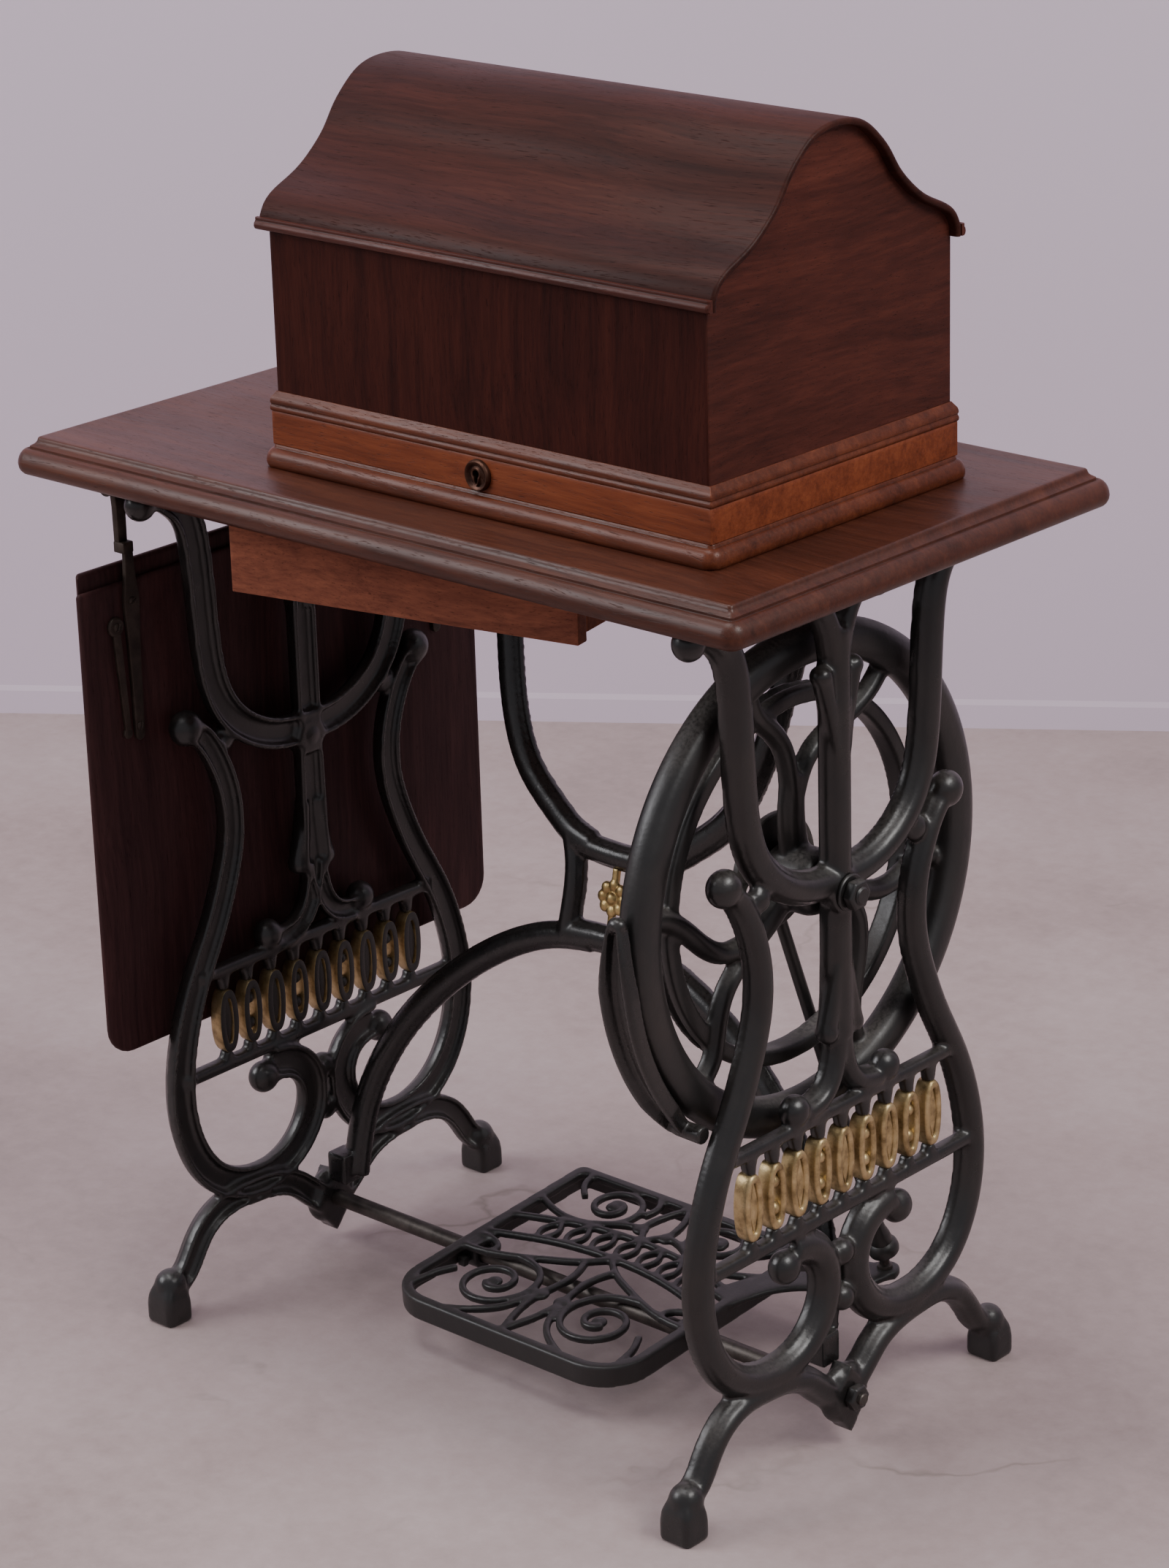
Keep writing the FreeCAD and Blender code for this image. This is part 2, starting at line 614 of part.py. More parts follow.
# ---------------------------------------------------------------- rod, treadle, pitman

def rod():
    inner = size("frame_mid") - size("frame_thick") / 2
    body = Part.makeCylinder(size("rod_radius"), 2 * inner, V(-inner, 0, 0), V(1, 0, 0))
    spigot = Part.makeCylinder(5, 2 * inner + 2 * (size("frame_thick") + 12),
                               V(-inner - size("frame_thick") - 12, 0, 0), V(1, 0, 0))
    casting("treadle_rod", weld([body, spigot]),
            FreeCAD.Placement(V(0, size("frame_y"), size("rod_z")), FreeCAD.Rotation()))


def rounded(x0, x1, y0, y1, front_r, back_r, thick, lift):
    solid = Part.makeBox(x1 - x0, y1 - y0, thick, V(x0, y0, lift))
    for radius, level in ((front_r, y0), (back_r, y1)):
        edges = [edge for edge in solid.Edges
                 if edge.BoundBox.ZLength > thick - 0.1 and abs(edge.BoundBox.YMin - level) < 0.1
                 and edge.BoundBox.YLength < 0.1]
        solid = solid.makeFillet(radius, edges)
    return solid


def spiral(cx, cy, start, reach, turns, flip=1):
    """points of a scroll that winds in towards its eye"""
    points = []
    for i in range(9):
        t = i / 8.0
        angle = math.radians(start + flip * 360 * turns * t)
        radius = reach * (1 - 0.72 * t)
        points.append((cx + radius * math.cos(angle), cy + radius * math.sin(angle)))
    return points


def treadle():
    left, right = -size("treadle_left"), size("treadle_right")
    front, back = -size("treadle_front"), size("treadle_back")
    thick, rod_r = size("treadle_thick"), size("rod_radius")
    lift = rod_r + 1.0
    skirt, wall = size("treadle_skirt"), 6.0
    rim = rounded(left, right, front, back, 42, 8, thick + skirt, lift - skirt)
    rim = rim.cut(rounded(left + wall, right - wall, front + wall, back - wall, 36, 4, skirt, lift - skirt))
    rim = rim.cut(rounded(left + 16, right - 18, front + 20, back - 12, 26, 6, thick + 4, lift - 2))
    mid = (left + right) / 2
    web = thick - 2
    arch = [(left + 8, 14), (mid - 60, 32), (mid, 38), (mid + 60, 32), (right - 8, 14)]
    shapes = [rim, strap(arch, 7, web, lift), strap([(u, v + 34) for u, v in arch], 7, web, lift)]
    for side in (-1, 1):
        for cy, start, flip in ((-38, 90, 1), (100, -90, -1)):
            cx = mid + side * 52
            shapes.append(strap(spiral(cx, cy, start, 44, 1.35, side * flip), 7, web, lift, 2))
            shapes.append(disc(cx, cy, 12, web, lift))
        shapes.append(strap([(mid, 38), (mid + side * 26, 8), (mid + side * 10, -40), (mid, -88)], 7, web, lift))
        shapes.append(strap([(mid, 70), (mid + side * 12, 95), (mid, 132)], 7, web, lift))
    for i in range(7):
        u = mid + (i - 3) * 25.0
        level = 38 - 0.0022 * (u - mid) ** 2
        shapes.append(block(u - 3.5, u + 3.5, level - 1, level + 34, web, lift))
    arm = plate([(right - 18, 40), (right - 4, 70), (right + 26, 102), (206 + 10, 124), (206 + 12, 150),
                 (206 + 6, 158), (206 - 6, 158), (206 - 12, back), (right - 20, back)], thick, lift)
    shapes.append(arm)
    collars = []
    for x0 in (left + 2, right - 18):
        collars.append(Part.makeCylinder(13, 16, V(x0, 0, 0), V(1, 0, 0)))
        collars.append(block(x0, x0 + 16, -13, 13, 4, lift - 3))
    shape = weld(shapes + collars)
    shape = shape.cut(Part.makeCylinder(rod_r + 0.06, 600, V(-300, 0, 0), V(1, 0, 0)))
    tilt = FreeCAD.Placement(V(0, size("frame_y"), size("rod_z")),
                             FreeCAD.Rotation(V(1, 0, 0), size("treadle_tilt")))
    casting("treadle_plate", shape, tilt)
    for name, x0 in (("left", left + 10), ("right", right - 10)):
        stem = Part.makeCylinder(3, 7, V(x0, -19.9, 0), V(0, 1, 0))
        head = Part.makeBox(7.6, 6, 7.6, V(x0 - 3.8, -22, -3.8))
        screw = weld([stem, head]).cut(Part.makeCylinder(13.0, 60, V(x0 - 30, 0, 0), V(1, 0, 0)))
        casting("set_screw_" + name, screw, tilt)
    stud = Part.makeCylinder(4, 12, V(206, 150, lift + thick))
    ball = Part.makeSphere(9, V(206, 150, lift + thick + 16))
    casting("treadle_ball", weld([stud, ball]), tilt)
    return tilt.multVec(V(206, 150, lift + thick + 16))


def pitman(ball):
    """the rod from the treadle's ball up to the ring beside the crank pin"""
    pin = V(206, size("frame_y") - 6, size("wheel_z") + 24)
    along = (pin - ball).normalize()
    shaft = Part.makeCylinder(5.2, (pin - ball).Length - 22, ball + along * 11, along)
    cup = Part.makeCylinder(13, 20, V(ball.x - 10, ball.y, ball.z), V(1, 0, 0))
    cup = cup.cut(Part.makeBox(60, 60, 60, V(ball.x - 30, ball.y - 30, ball.z - 58.5)))
    ring = Part.makeCylinder(15, 10, V(200.5, pin.y, pin.z), V(1, 0, 0))
    shape = weld([shaft, cup, ring])
    shape = shape.cut(Part.makeSphere(9.3, ball))
    shape = shape.cut(Part.makeCylinder(8, 30, V(190, pin.y, pin.z), V(1, 0, 0)))
    casting("pitman_rod", shape)
    casting("pitman_cap", Part.makeCylinder(7.95, 12, V(198.5, pin.y, pin.z), V(1, 0, 0)))
    disc_x = 216.0
    plate_disc = Part.makeCylinder(46, 6, V(disc_x, size("frame_y"), size("wheel_z")), V(1, 0, 0))
    for i in range(5):
        angle = math.radians(76 + 60 * (i + 1))
        hole = Part.makeCylinder(8, 30, V(disc_x - 10, size("frame_y") + 29 * math.cos(angle),
                                          size("wheel_z") + 29 * math.sin(angle)), V(1, 0, 0))
        plate_disc = plate_disc.cut(hole)
    casting("crank_disc", weld([plate_disc, Part.makeCylinder(6, 5.2, V(211.3, pin.y, pin.z), V(1, 0, 0))]))


# ---------------------------------------------------------------- wheel

TRUNK = [(0, 18), (-4, 45), (-2, 84)]
LEFT_FORK = [(-4, 50), (-8, 84), (-15, 108), (-32, 128), (-48, 144), (-54, 162), (-56, 180)]
RIGHT_FORK = [(-2, 62), (12, 90), (36, 104), (64, 113), (90, 127), (108, 144), (120, 152)]


def ring_of(section):
    """turns a closed (radius, height) outline about the local Z axis"""
    corners = [V(r, 0, h) for r, h in section]
    face = Part.Face(Part.makePolygon(corners + corners[:1]))
    return face.revolve(V(0, 0, 0), V(0, 0, 1), 360)


def wheel():
    radius, belt = size("wheel_radius"), size("belt_radius")
    rim_section = [(radius - 16 + 16 * math.cos(math.radians(a)), 14 * math.sin(math.radians(a)))
                   for a in range(0, 360, 30)]
    groove = [(belt, -23), (belt - 5, -18), (belt - 5, -16), (belt, -11), (belt - 3, -5), (belt - 14, -5),
              (belt - 14, -23)]
    shapes = [ring_of(rim_section), ring_of(groove),
              disc(0, 0, 26, 44, -23)]
    for i in range(3):
        for points, width in ((TRUNK, 24), (LEFT_FORK, 15), (RIGHT_FORK, 15)):
            spoke = strap(points, width, 13, -11)
            spoke.rotate(V(0, 0, 0), V(0, 0, 1), -120 * i)
            shapes.append(spoke)
    shape = weld(shapes).cut(Part.makeCylinder(size("wheel_bore"), 90, V(0, 0, -50)))
    centre = FreeCAD.Placement(V(size("wheel_x"), size("frame_y"), size("wheel_z")), CAST_TURN)
    casting("flywheel", shape, centre)
    inner = size("frame_mid") - size("frame_thick") / 2
    out = inner + size("frame_thick")
    stud = Part.makeCylinder(7, out + 14 - 226, V(226, 0, 0), V(1, 0, 0))
    here = FreeCAD.Placement(V(0, size("frame_y"), size("wheel_z")), FreeCAD.Rotation())
    casting("axle_stud", stud, here)
    washer = Part.makeCylinder(17, 3, V(out, 0, 0), V(1, 0, 0))
    casting("axle_washer", washer.cut(Part.makeCylinder(7.05, 40, V(out - 5, 0, 0), V(1, 0, 0))), here)
    nut = hexagon(15, 9).cut(Part.makeCylinder(7.05, 40, V(0, 0, -5)))
    casting("axle_nut", nut, FreeCAD.Placement(V(out + 3, size("frame_y"), size("wheel_z")),
                                               FreeCAD.Rotation(V(0, 1, 0), 90)))


def dress_guard():
    """two curved bars in front of the wheel's lower edge, joined at both ends, with a lug on the frame"""
    radius = size("wheel_radius") + 11
    centre = V(0, size("frame_y"), size("wheel_z"))
    bars = []
    start, end = -8, 46
    for x in (238, 256):
        angles = [math.radians(start + (end - start) * i / 6.0) for i in range(7)]
        path = curve([centre + V(x, -radius * math.cos(a), -radius * math.sin(a)) for a in angles])
        section = Part.Wire(Part.makeCircle(4.5, path.value(path.FirstParameter),
                                            path.tangent(path.FirstParameter)[0]))
        bars.append(Part.Wire(path.toShape()).makePipeShell([section], True, True))
    for degrees in (start, end):
        a = math.radians(degrees)
        at = centre + V(234, -radius * math.cos(a), -radius * math.sin(a))
        bars.append(Part.makeCylinder(5.5, 26, at, V(1, 0, 0)))
    a = math.radians(end)
    at = centre + V(250, -radius * math.cos(a), -radius * math.sin(a))
    inner = size("frame_mid") - size("frame_thick") / 2
    bars.append(Part.makeCylinder(7, inner - 250, at, V(1, 0, 0)))
    casting("dress_guard", weld(bars))


def build():
    table_top()
    lid()
    leaf()
    drawer()
    side_frames()
    table_lugs()
    brace()
    rod()
    pitman(treadle())
    wheel()
    dress_guard()
    doc.recompute()


def write():
    os.makedirs("parts", exist_ok=True)
    for name, feature in NODES.items():
        if "Invalid" in feature.State or "Error" in feature.State:
            raise RuntimeError("%s did not build: %s" % (name, feature.State))
        shape = feature.Shape
        if shape.isNull() or not shape.isValid():
            raise RuntimeError("%s has a bad shape" % name)
        box_of = shape.BoundBox
        print("%-24s %2d solid(s) %9.0f mm3  X %.0f..%.0f Y %.0f..%.0f Z %.0f..%.0f" % (
            name, len(shape.Solids), shape.Volume, box_of.XMin, box_of.XMax, box_of.YMin, box_of.YMax,
            box_of.ZMin, box_of.ZMax))
        shape.exportStep(os.path.join("parts", name + ".step"))


build()
write()
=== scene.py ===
import json
import math
from contextlib import contextmanager

import bmesh
import bpy
import numpy as np
from mathutils import Matrix, Vector

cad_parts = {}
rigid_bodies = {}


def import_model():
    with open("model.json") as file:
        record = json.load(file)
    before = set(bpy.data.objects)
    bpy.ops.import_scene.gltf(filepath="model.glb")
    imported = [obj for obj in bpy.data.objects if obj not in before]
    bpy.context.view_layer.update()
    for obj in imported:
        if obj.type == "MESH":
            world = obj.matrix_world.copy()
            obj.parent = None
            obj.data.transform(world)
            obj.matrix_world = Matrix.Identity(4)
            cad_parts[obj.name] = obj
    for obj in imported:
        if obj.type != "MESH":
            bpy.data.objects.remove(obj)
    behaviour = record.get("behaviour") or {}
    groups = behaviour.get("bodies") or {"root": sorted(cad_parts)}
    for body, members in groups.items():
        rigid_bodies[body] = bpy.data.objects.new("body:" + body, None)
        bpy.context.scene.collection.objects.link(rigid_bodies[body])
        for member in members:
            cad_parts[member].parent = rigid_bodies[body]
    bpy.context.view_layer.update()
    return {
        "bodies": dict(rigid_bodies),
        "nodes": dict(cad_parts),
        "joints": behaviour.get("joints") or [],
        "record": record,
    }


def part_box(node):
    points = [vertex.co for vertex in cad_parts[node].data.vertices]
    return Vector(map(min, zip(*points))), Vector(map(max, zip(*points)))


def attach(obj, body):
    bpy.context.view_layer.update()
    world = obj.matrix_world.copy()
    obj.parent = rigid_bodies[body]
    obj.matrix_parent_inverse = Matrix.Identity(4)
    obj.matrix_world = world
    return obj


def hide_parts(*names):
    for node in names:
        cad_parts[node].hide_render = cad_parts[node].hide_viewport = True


# Treadle sewing table. Lengths are in millimetres until a mesh is made.

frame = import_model()
metres = 0.001


def cadBox(node):
    low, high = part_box(node)
    return np.array(low) / metres, np.array(high) / metres


def middleOf(node):
    low, high = cadBox(node)
    return (low + high) / 2


print("frame loaded")

# ---- shader building


class Wire:
    # a socket that takes part in sums

    def __init__(self, finish, socket):
        self.finish = finish
        self.socket = socket

    def __add__(self, other):
        return self.finish.sum("ADD", self, other)

    def __sub__(self, other):
        return self.finish.sum("SUBTRACT", self, other)

    def __rsub__(self, other):
        return self.finish.sum("SUBTRACT", other, self)

    def __mul__(self, other):
        return self.finish.sum("MULTIPLY", self, other)

    __radd__ = __add__
    __rmul__ = __mul__


class Finish:
    def __init__(self, name):
        self.material = bpy.data.materials.new(name)
        self.material.use_nodes = True
        self.tree = self.material.node_tree
        self.tree.nodes.clear()
        self.place = self.make("TexCoord", out="Object")

    def make(self, kind, settings=None, sockets=None, out=0):
        node = self.tree.nodes.new("ShaderNode" + kind)
        for key, value in (settings or {}).items():
            if key == "stops":
                self.setStops(node.color_ramp.elements, value)
            else:
                setattr(node, key, value)
        for key, value in (sockets or {}).items():
            if isinstance(value, Wire):
                self.tree.links.new(value.socket, node.inputs[key])
            else:
                node.inputs[key].default_value = value
        return Wire(self, node.outputs[out])

    def setStops(self, elements, stops):
        for place, tone in stops[1:-1]:
            elements.new(place).color = tone
        for element, (place, tone) in ((elements[0], stops[0]), (elements[-1], stops[-1])):
            element.position = place
            element.color = tone

    def sum(self, operation, first, second, clamp=False):
        return self.make("Math", {"operation": operation, "use_clamp": clamp}, {0: first, 1: second})

    def noise(self, scale, detail=3.0, rough=0.5, at=None, bend=0.0):
        return self.make("TexNoise", None, {"Vector": at or self.place, "Scale": scale, "Detail": detail,
                                            "Roughness": rough, "Distortion": bend})

    def stretched(self, scale, turn=(0, 0, 0), at=None):
        return self.make("Mapping", None, {"Vector": at or self.place, "Rotation": turn, "Scale": scale})

    def ramp(self, value, low, high):
        # 0 below low, 1 above high
        return self.make("MapRange", {"clamp": True}, {"Value": value, "From Min": low, "From Max": high})

    def mix(self, amount, first, second):
        return self.make("Mix", {"data_type": "RGBA"}, {0: amount, 6: first, 7: second}, 2)

    def colours(self, value, stops):
        return self.make("ValToRGB", {"stops": [(place, (*tone, 1)) for place, tone in stops]}, {"Fac": value})

    def edge(self):
        return self.make("Attribute", {"attribute_name": "edge"}, out="Fac")

    def bump(self, height, strength, depth, under=None):
        sockets = {"Height": height, "Strength": strength, "Distance": depth}
        if under:
            sockets["Normal"] = under
        return self.make("Bump", None, sockets)

    def finish(self, colour, rough, normal=None, **fixed):
        sockets = {"Base Color": colour, "Roughness": rough}
        if normal:
            sockets["Normal"] = normal
        for key, value in fixed.items():
            sockets[key.replace("_", " ")] = value
        self.join(self.make("BsdfPrincipled", None, sockets))
        return self.material

    def join(self, skin):
        end = self.tree.nodes.new("ShaderNodeOutputMaterial")
        self.tree.links.new(skin.socket, end.inputs["Surface"])


# ---- timber

def timber(name, grain, tones, shine, turn=(0, 0, 0), patch=0.5, gloss=0.3):
    # grain is the stretch of the pattern along x, y and z, small along the fibres
    wood = Finish(name)
    drift = wood.noise(5.0, 2.0)
    wander = wood.make("VectorMath", {"operation": "SCALE"}, {0: wood.make(
        "TexNoise", None, {"Vector": wood.place, "Scale": 4.0, "Detail": 2.0}, "Color"), "Scale": 0.035})
    bent = wood.make("VectorMath", {"operation": "ADD"}, {0: wood.place, 1: wander})
    along = wood.stretched(grain, turn, bent)
    bands = wood.noise(55.0, 3.0, 0.55, along, 0.6)
    fibres = wood.noise(330.0, 4.0, 0.65, along)
    pores = wood.ramp(wood.noise(1150.0, 2.0, 0.6, wood.stretched([g if g == 1 else g * 1.7 for g in grain],
                                                                  turn, bent)), 0.60, 0.72)
    value = bands * 0.55 + fibres * 0.52 + drift * (0.35 * patch) - (0.145 + 0.09 * patch)
    colour = wood.colours(value, [(0.24, tones[0]), (0.45, tones[1]), (0.60, tones[2]), (0.80, tones[3])])
    colour = wood.mix(pores * 0.55, colour, (*[c * 0.35 for c in tones[0]], 1))
    edge = wood.edge()
    rubbed = wood.ramp(edge + wood.noise(60.0, 3.0) * 0.40, 0.50, 1.10)
    colour = wood.mix(rubbed * 0.40, colour, (*[c * 1.7 + 0.006 for c in tones[3]], 1))
    # painted shade: the hollows of the mouldings are darkened towards the darkest tone
    hollowShade = wood.ramp(0 - edge + wood.noise(35.0, 3.0) * 0.2, 0.16, 0.55)
    colour = wood.mix(hollowShade * 0.85, colour, (*[c * 0.25 for c in tones[0]], 1))
    hazy = wood.ramp(wood.noise(9.0, 4.0, 0.6), 0.42, 0.75)
    rough = shine + fibres * 0.16 + hazy * 0.10 + pores * 0.15 - 0.08
    relief = wood.bump(fibres * 0.7 - pores, 0.35, 0.0004)
    relief = wood.bump(bands, 0.08, 0.0008, relief)
    return wood.finish(colour, rough, relief, Coat_Weight=gloss * 0.35 - pores * 0.1, Coat_Roughness=0.24,
                       Specular_IOR_Level=gloss)


redBrown = [(0.025, 0.0065, 0.0045), (0.050, 0.0122, 0.0080), (0.072, 0.0180, 0.0112), (0.106, 0.0280, 0.0165)]
roofBrown = [(0.014, 0.0038, 0.0028), (0.029, 0.0076, 0.0052), (0.043, 0.0116, 0.0076), (0.068, 0.0200, 0.0122)]
darkBrown = [(0.017, 0.0040, 0.0030), (0.036, 0.0078, 0.0053), (0.050, 0.0112, 0.0072), (0.070, 0.0170, 0.0100)]
topBrown = [(0.026, 0.0070, 0.0036), (0.052, 0.0140, 0.0072), (0.074, 0.0212, 0.0104), (0.110, 0.0345, 0.0165)]
trimBrown = [(0.040, 0.0095, 0.0042), (0.085, 0.0205, 0.0084), (0.122, 0.0315, 0.0125), (0.175, 0.0500, 0.0200)]
orangeBrown = [(0.070, 0.0155, 0.0062), (0.145, 0.0330, 0.0122), (0.200, 0.0500, 0.0182), (0.270, 0.0760, 0.0285)]
drawerBrown = [(0.095, 0.0285, 0.0175), (0.190, 0.0605, 0.0350), (0.265, 0.0890, 0.0490), (0.350, 0.1290, 0.0715)]
leafBrown = [(0.023, 0.0100, 0.0112), (0.042, 0.0178, 0.0182), (0.061, 0.0252, 0.0250), (0.085, 0.0355, 0.0330)]

topWood = timber("polishedTop", (0.05, 1, 1), topBrown, 0.38, patch=0.9, gloss=0.26)
roofWood = timber("bentRoof", (0.035, 1, 1), roofBrown, 0.46, patch=1.0, gloss=0.10)
frontWood = timber("lidFrontVeneer", (1, 1, 0.05), darkBrown, 0.50, patch=0.7, gloss=0.08)
endWood = timber("lidEndVeneer", (1, 0.10, 1), redBrown, 0.48, turn=(math.radians(38), 0, 0), patch=1.2, gloss=0.14)
bandWood = timber("bandWood", (0.045, 1, 1), orangeBrown, 0.42, patch=1.1, gloss=0.18)
trimWood = timber("mouldingWood", (0.045, 1, 1), trimBrown, 0.32, patch=0.8, gloss=0.20)
eaveWood = timber("eaveWood", (0.045, 1, 1), redBrown, 0.38, patch=0.8, gloss=0.18)
leafWood = timber("leafWood", (1, 1, 0.05), leafBrown, 0.52, patch=0.8, gloss=0.08)
drawerWood = timber("drawerFrontWood", (0.05, 1, 1), drawerBrown, 0.52, patch=0.9, gloss=0.10)
plainWood = timber("insideWood", (0.05, 1, 1), drawerBrown, 0.60, patch=0.6, gloss=0.10)
print("timber finishes ready")

# ---- metal


def iron(name, dust, rough, brown):
    cast = Finish(name)
    facing = cast.make("SeparateXYZ", None, {0: cast.make("TexCoord", out="Normal")}, "Z")
    edge = cast.edge()
    cloud = cast.noise(14.0, 4.0, 0.6)
    speck = cast.noise(420.0, 3.0, 0.6)
    colour = cast.mix(cast.ramp(cloud, 0.40, 0.70) * brown, (0.0095, 0.0090, 0.0090, 1), (0.0200, 0.0160, 0.0140, 1))
    settled = cast.ramp(facing + cloud * 0.7 - edge * 0.3, 0.75, 1.45) * cast.ramp(speck, 0.25, 0.62)
    colour = cast.mix(settled * dust, colour, (0.125, 0.112, 0.102, 1))
    hollow = cast.ramp(0 - edge + speck * 0.2, 0.30, 0.8)
    colour = cast.mix(hollow * (dust * 0.45), colour, (0.060, 0.054, 0.049, 1))
    worn = cast.ramp(edge + speck * 0.35, 0.72, 1.1)
    colour = cast.mix(worn * 0.30, colour, (0.090, 0.080, 0.072, 1))
    gloss = rough + settled * (dust * 0.5) + cast.ramp(cast.noise(70.0, 4.0, 0.6), 0.35, 0.75) * 0.12 - worn * 0.08
    grit = cast.bump(speck, 0.22, 0.0005)
    grit = cast.bump(cast.noise(75.0, 3.0, 0.55), 0.28, 0.0012, grit)
    return cast.finish(colour, gloss, grit, Specular_IOR_Level=0.50, Coat_Weight=0.10, Coat_Roughness=0.25)


def gilding(name, outward):
    # gold on the faces that look outwards, black enamel on those that look in
    gold = Finish(name)
    across = gold.make("SeparateXYZ", None, {0: gold.make("TexCoord", out="Normal")}, "X")
    edge = gold.edge()
    speck = gold.noise(520.0, 4.0, 0.65)
    cloud = gold.noise(90.0, 4.0, 0.6)
    leafing = gold.colours(cloud, [(0.30, (0.21, 0.145, 0.066)), (0.50, (0.47, 0.350, 0.175)),
                                   (0.72, (0.64, 0.505, 0.280))])
    tarnish = gold.ramp(speck - edge * 0.5, 0.52, 0.72)
    leafing = gold.mix(tarnish * 0.75, leafing, (0.060, 0.040, 0.020, 1))
    shown = gold.ramp(across * outward + cloud * 0.25, -0.42, -0.18)
    colour = gold.mix(shown, (0.012, 0.011, 0.010, 1), leafing)
    rough = 0.34 + tarnish * 0.25 + speck * 0.12
    return gold.finish(colour, rough, gold.bump(speck + cloud, 0.35, 0.0006), Metallic=shown * (0.85 - tarnish * 0.5))


def bareMetal(name, dark, light, rough, metallic):
    metal = Finish(name)
    edge = metal.edge()
    cloud = metal.noise(55.0, 5.0, 0.65)
    speck = metal.noise(700.0, 3.0, 0.6)
    colour = metal.mix(metal.ramp(cloud + edge * 0.4, 0.35, 0.75), (*dark, 1), (*light, 1))
    colour = metal.mix(metal.ramp(speck, 0.60, 0.75) * 0.5, colour, (0.040, 0.022, 0.014, 1))
    return metal.finish(colour, rough + cloud * 0.22, metal.bump(speck + cloud, 0.3, 0.0004),
                        Metallic=metallic - metal.ramp(cloud, 0.5, 0.8) * 0.2)


frameIron = iron("blackedIron", 0.42, 0.27, 0.8)
wheelIron = iron("dustyWheelIron", 0.85, 0.36, 0.8)
treadleIron = iron("treadleIron", 0.12, 0.42, 0.5)
braceIron = iron("braceIron", 0.30, 0.23, 0.5)
goldLeft = gilding("gildingLeft", -1.0)
goldRight = gilding("gildingRight", 1.0)
goldFront = bareMetal("braceGilding", (0.30, 0.20, 0.08), (0.60, 0.45, 0.20), 0.28, 0.9)
rodSteel = bareMetal("rodSteel", (0.045, 0.039, 0.036), (0.115, 0.098, 0.088), 0.36, 0.8)
armIron = bareMetal("leafArmIron", (0.020, 0.014, 0.011), (0.060, 0.042, 0.033), 0.46, 0.6)
bronze = bareMetal("lockBronze", (0.030, 0.012, 0.008), (0.095, 0.042, 0.026), 0.26, 0.8)
lockSteel = bareMetal("keyholeSteel", (0.14, 0.09, 0.075), (0.36, 0.27, 0.24), 0.30, 0.85)
keyDark = bareMetal("keyholeShadow", (0.002, 0.002, 0.002), (0.004, 0.003, 0.003), 0.7, 0.0)
print("metal finishes ready")

# ---- mesh building


def joined(parts):
    points, faces = [], []
    for some, those in parts:
        shift = len(points)
        points.extend(some)
        faces.extend([[i + shift for i in face] for face in those])
    return points, faces


def markEdges(mesh, reach, rounds=0):
    # a mask that is high on rubbed edges and below zero in hollows
    count = len(mesh.vertices)
    points = np.empty(count * 3)
    mesh.vertices.foreach_get("co", points)
    points = points.reshape(-1, 3)
    normals = np.array([v.normal for v in mesh.vertices]) if count < 4000 else readNormals(mesh)
    ends = np.empty(len(mesh.edges) * 2, int)
    mesh.edges.foreach_get("vertices", ends)
    first, second = ends.reshape(-1, 2).T
    step = points[second] - points[first]
    span = np.maximum((step ** 2).sum(1), 1e-12)
    bendFirst = -(normals[first] * step).sum(1) / span
    bendSecond = (normals[second] * step).sum(1) / span
    total = np.bincount(first, bendFirst, count) + np.bincount(second, bendSecond, count)
    meets = np.maximum(np.bincount(first, minlength=count) + np.bincount(second, minlength=count), 1)
    bend = total / meets
    for _ in range(rounds):
        spread = np.bincount(first, bend[second], count) + np.bincount(second, bend[first], count)
        bend = (bend + spread / meets) / 2
    mask = mesh.attributes.new("edge", "FLOAT", "POINT")
    mask.data.foreach_set("value", np.clip(bend * reach, -1, 1).astype(np.float32))


def readNormals(mesh):
    normals = np.empty(len(mesh.vertices) * 3)
    mesh.vertices.foreach_get("normal", normals)
    return normals.reshape(-1, 3)


@contextmanager
def editing(mesh):
    shape = bmesh.new()
    shape.from_mesh(mesh)
    yield shape
    shape.to_mesh(mesh)
    shape.free()


def placed(name, data):
    obj = bpy.data.objects.new(name, data)
    bpy.context.scene.collection.objects.link(obj)
    return obj


def meshObject(name, parts, turn=None):
    points, faces = joined(parts)
    points = np.array(points, float)
    if turn is not None:
        points = points @ np.array(turn.to_3x3()).T + np.array(turn.translation)
    mesh = bpy.data.meshes.new(name)
    mesh.from_pydata((points * metres).tolist(), [], faces)
    with editing(mesh) as shape:
        bmesh.ops.remove_doubles(shape, verts=shape.verts, dist=2e-6)
        bmesh.ops.recalc_face_normals(shape, faces=shape.faces)
    return placed(name, mesh)


def settle(obj):
    # bake the modifiers into a plain mesh
    bpy.context.view_layer.update()
    graph = bpy.context.evaluated_depsgraph_get()
    mesh = bpy.data.meshes.new_from_object(obj.evaluated_get(graph))
    obj.modifiers.clear()
    obj.data = mesh
    mesh.name = obj.name


def framed(obj, border=2.5):
    # a narrow border round each broad face keeps the rubbed edges narrow
    with editing(obj.data) as shape:
        broad = [face for face in shape.faces
                 if face.calc_area() / max(edge.calc_length() for edge in face.edges) > 4 * border * metres]
        bmesh.ops.inset_individual(shape, faces=broad, thickness=border * metres, use_even_offset=True)


def dressPiece(obj, material, body, node, sharp=38, reach=0.0016, rounds=0):
    # sharp is the crease angle, or 0 for a smooth casting; reach and rounds shape the mask of rubbed edges
    if sharp:
        framed(obj)
    obj.data.materials.clear()
    obj.data.materials.append(material)
    obj.data.shade_smooth()
    if sharp:
        obj.data.set_sharp_from_angle(angle=math.radians(sharp))
    markEdges(obj.data, reach, rounds)
    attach(obj, body)
    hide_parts(node)
    return obj


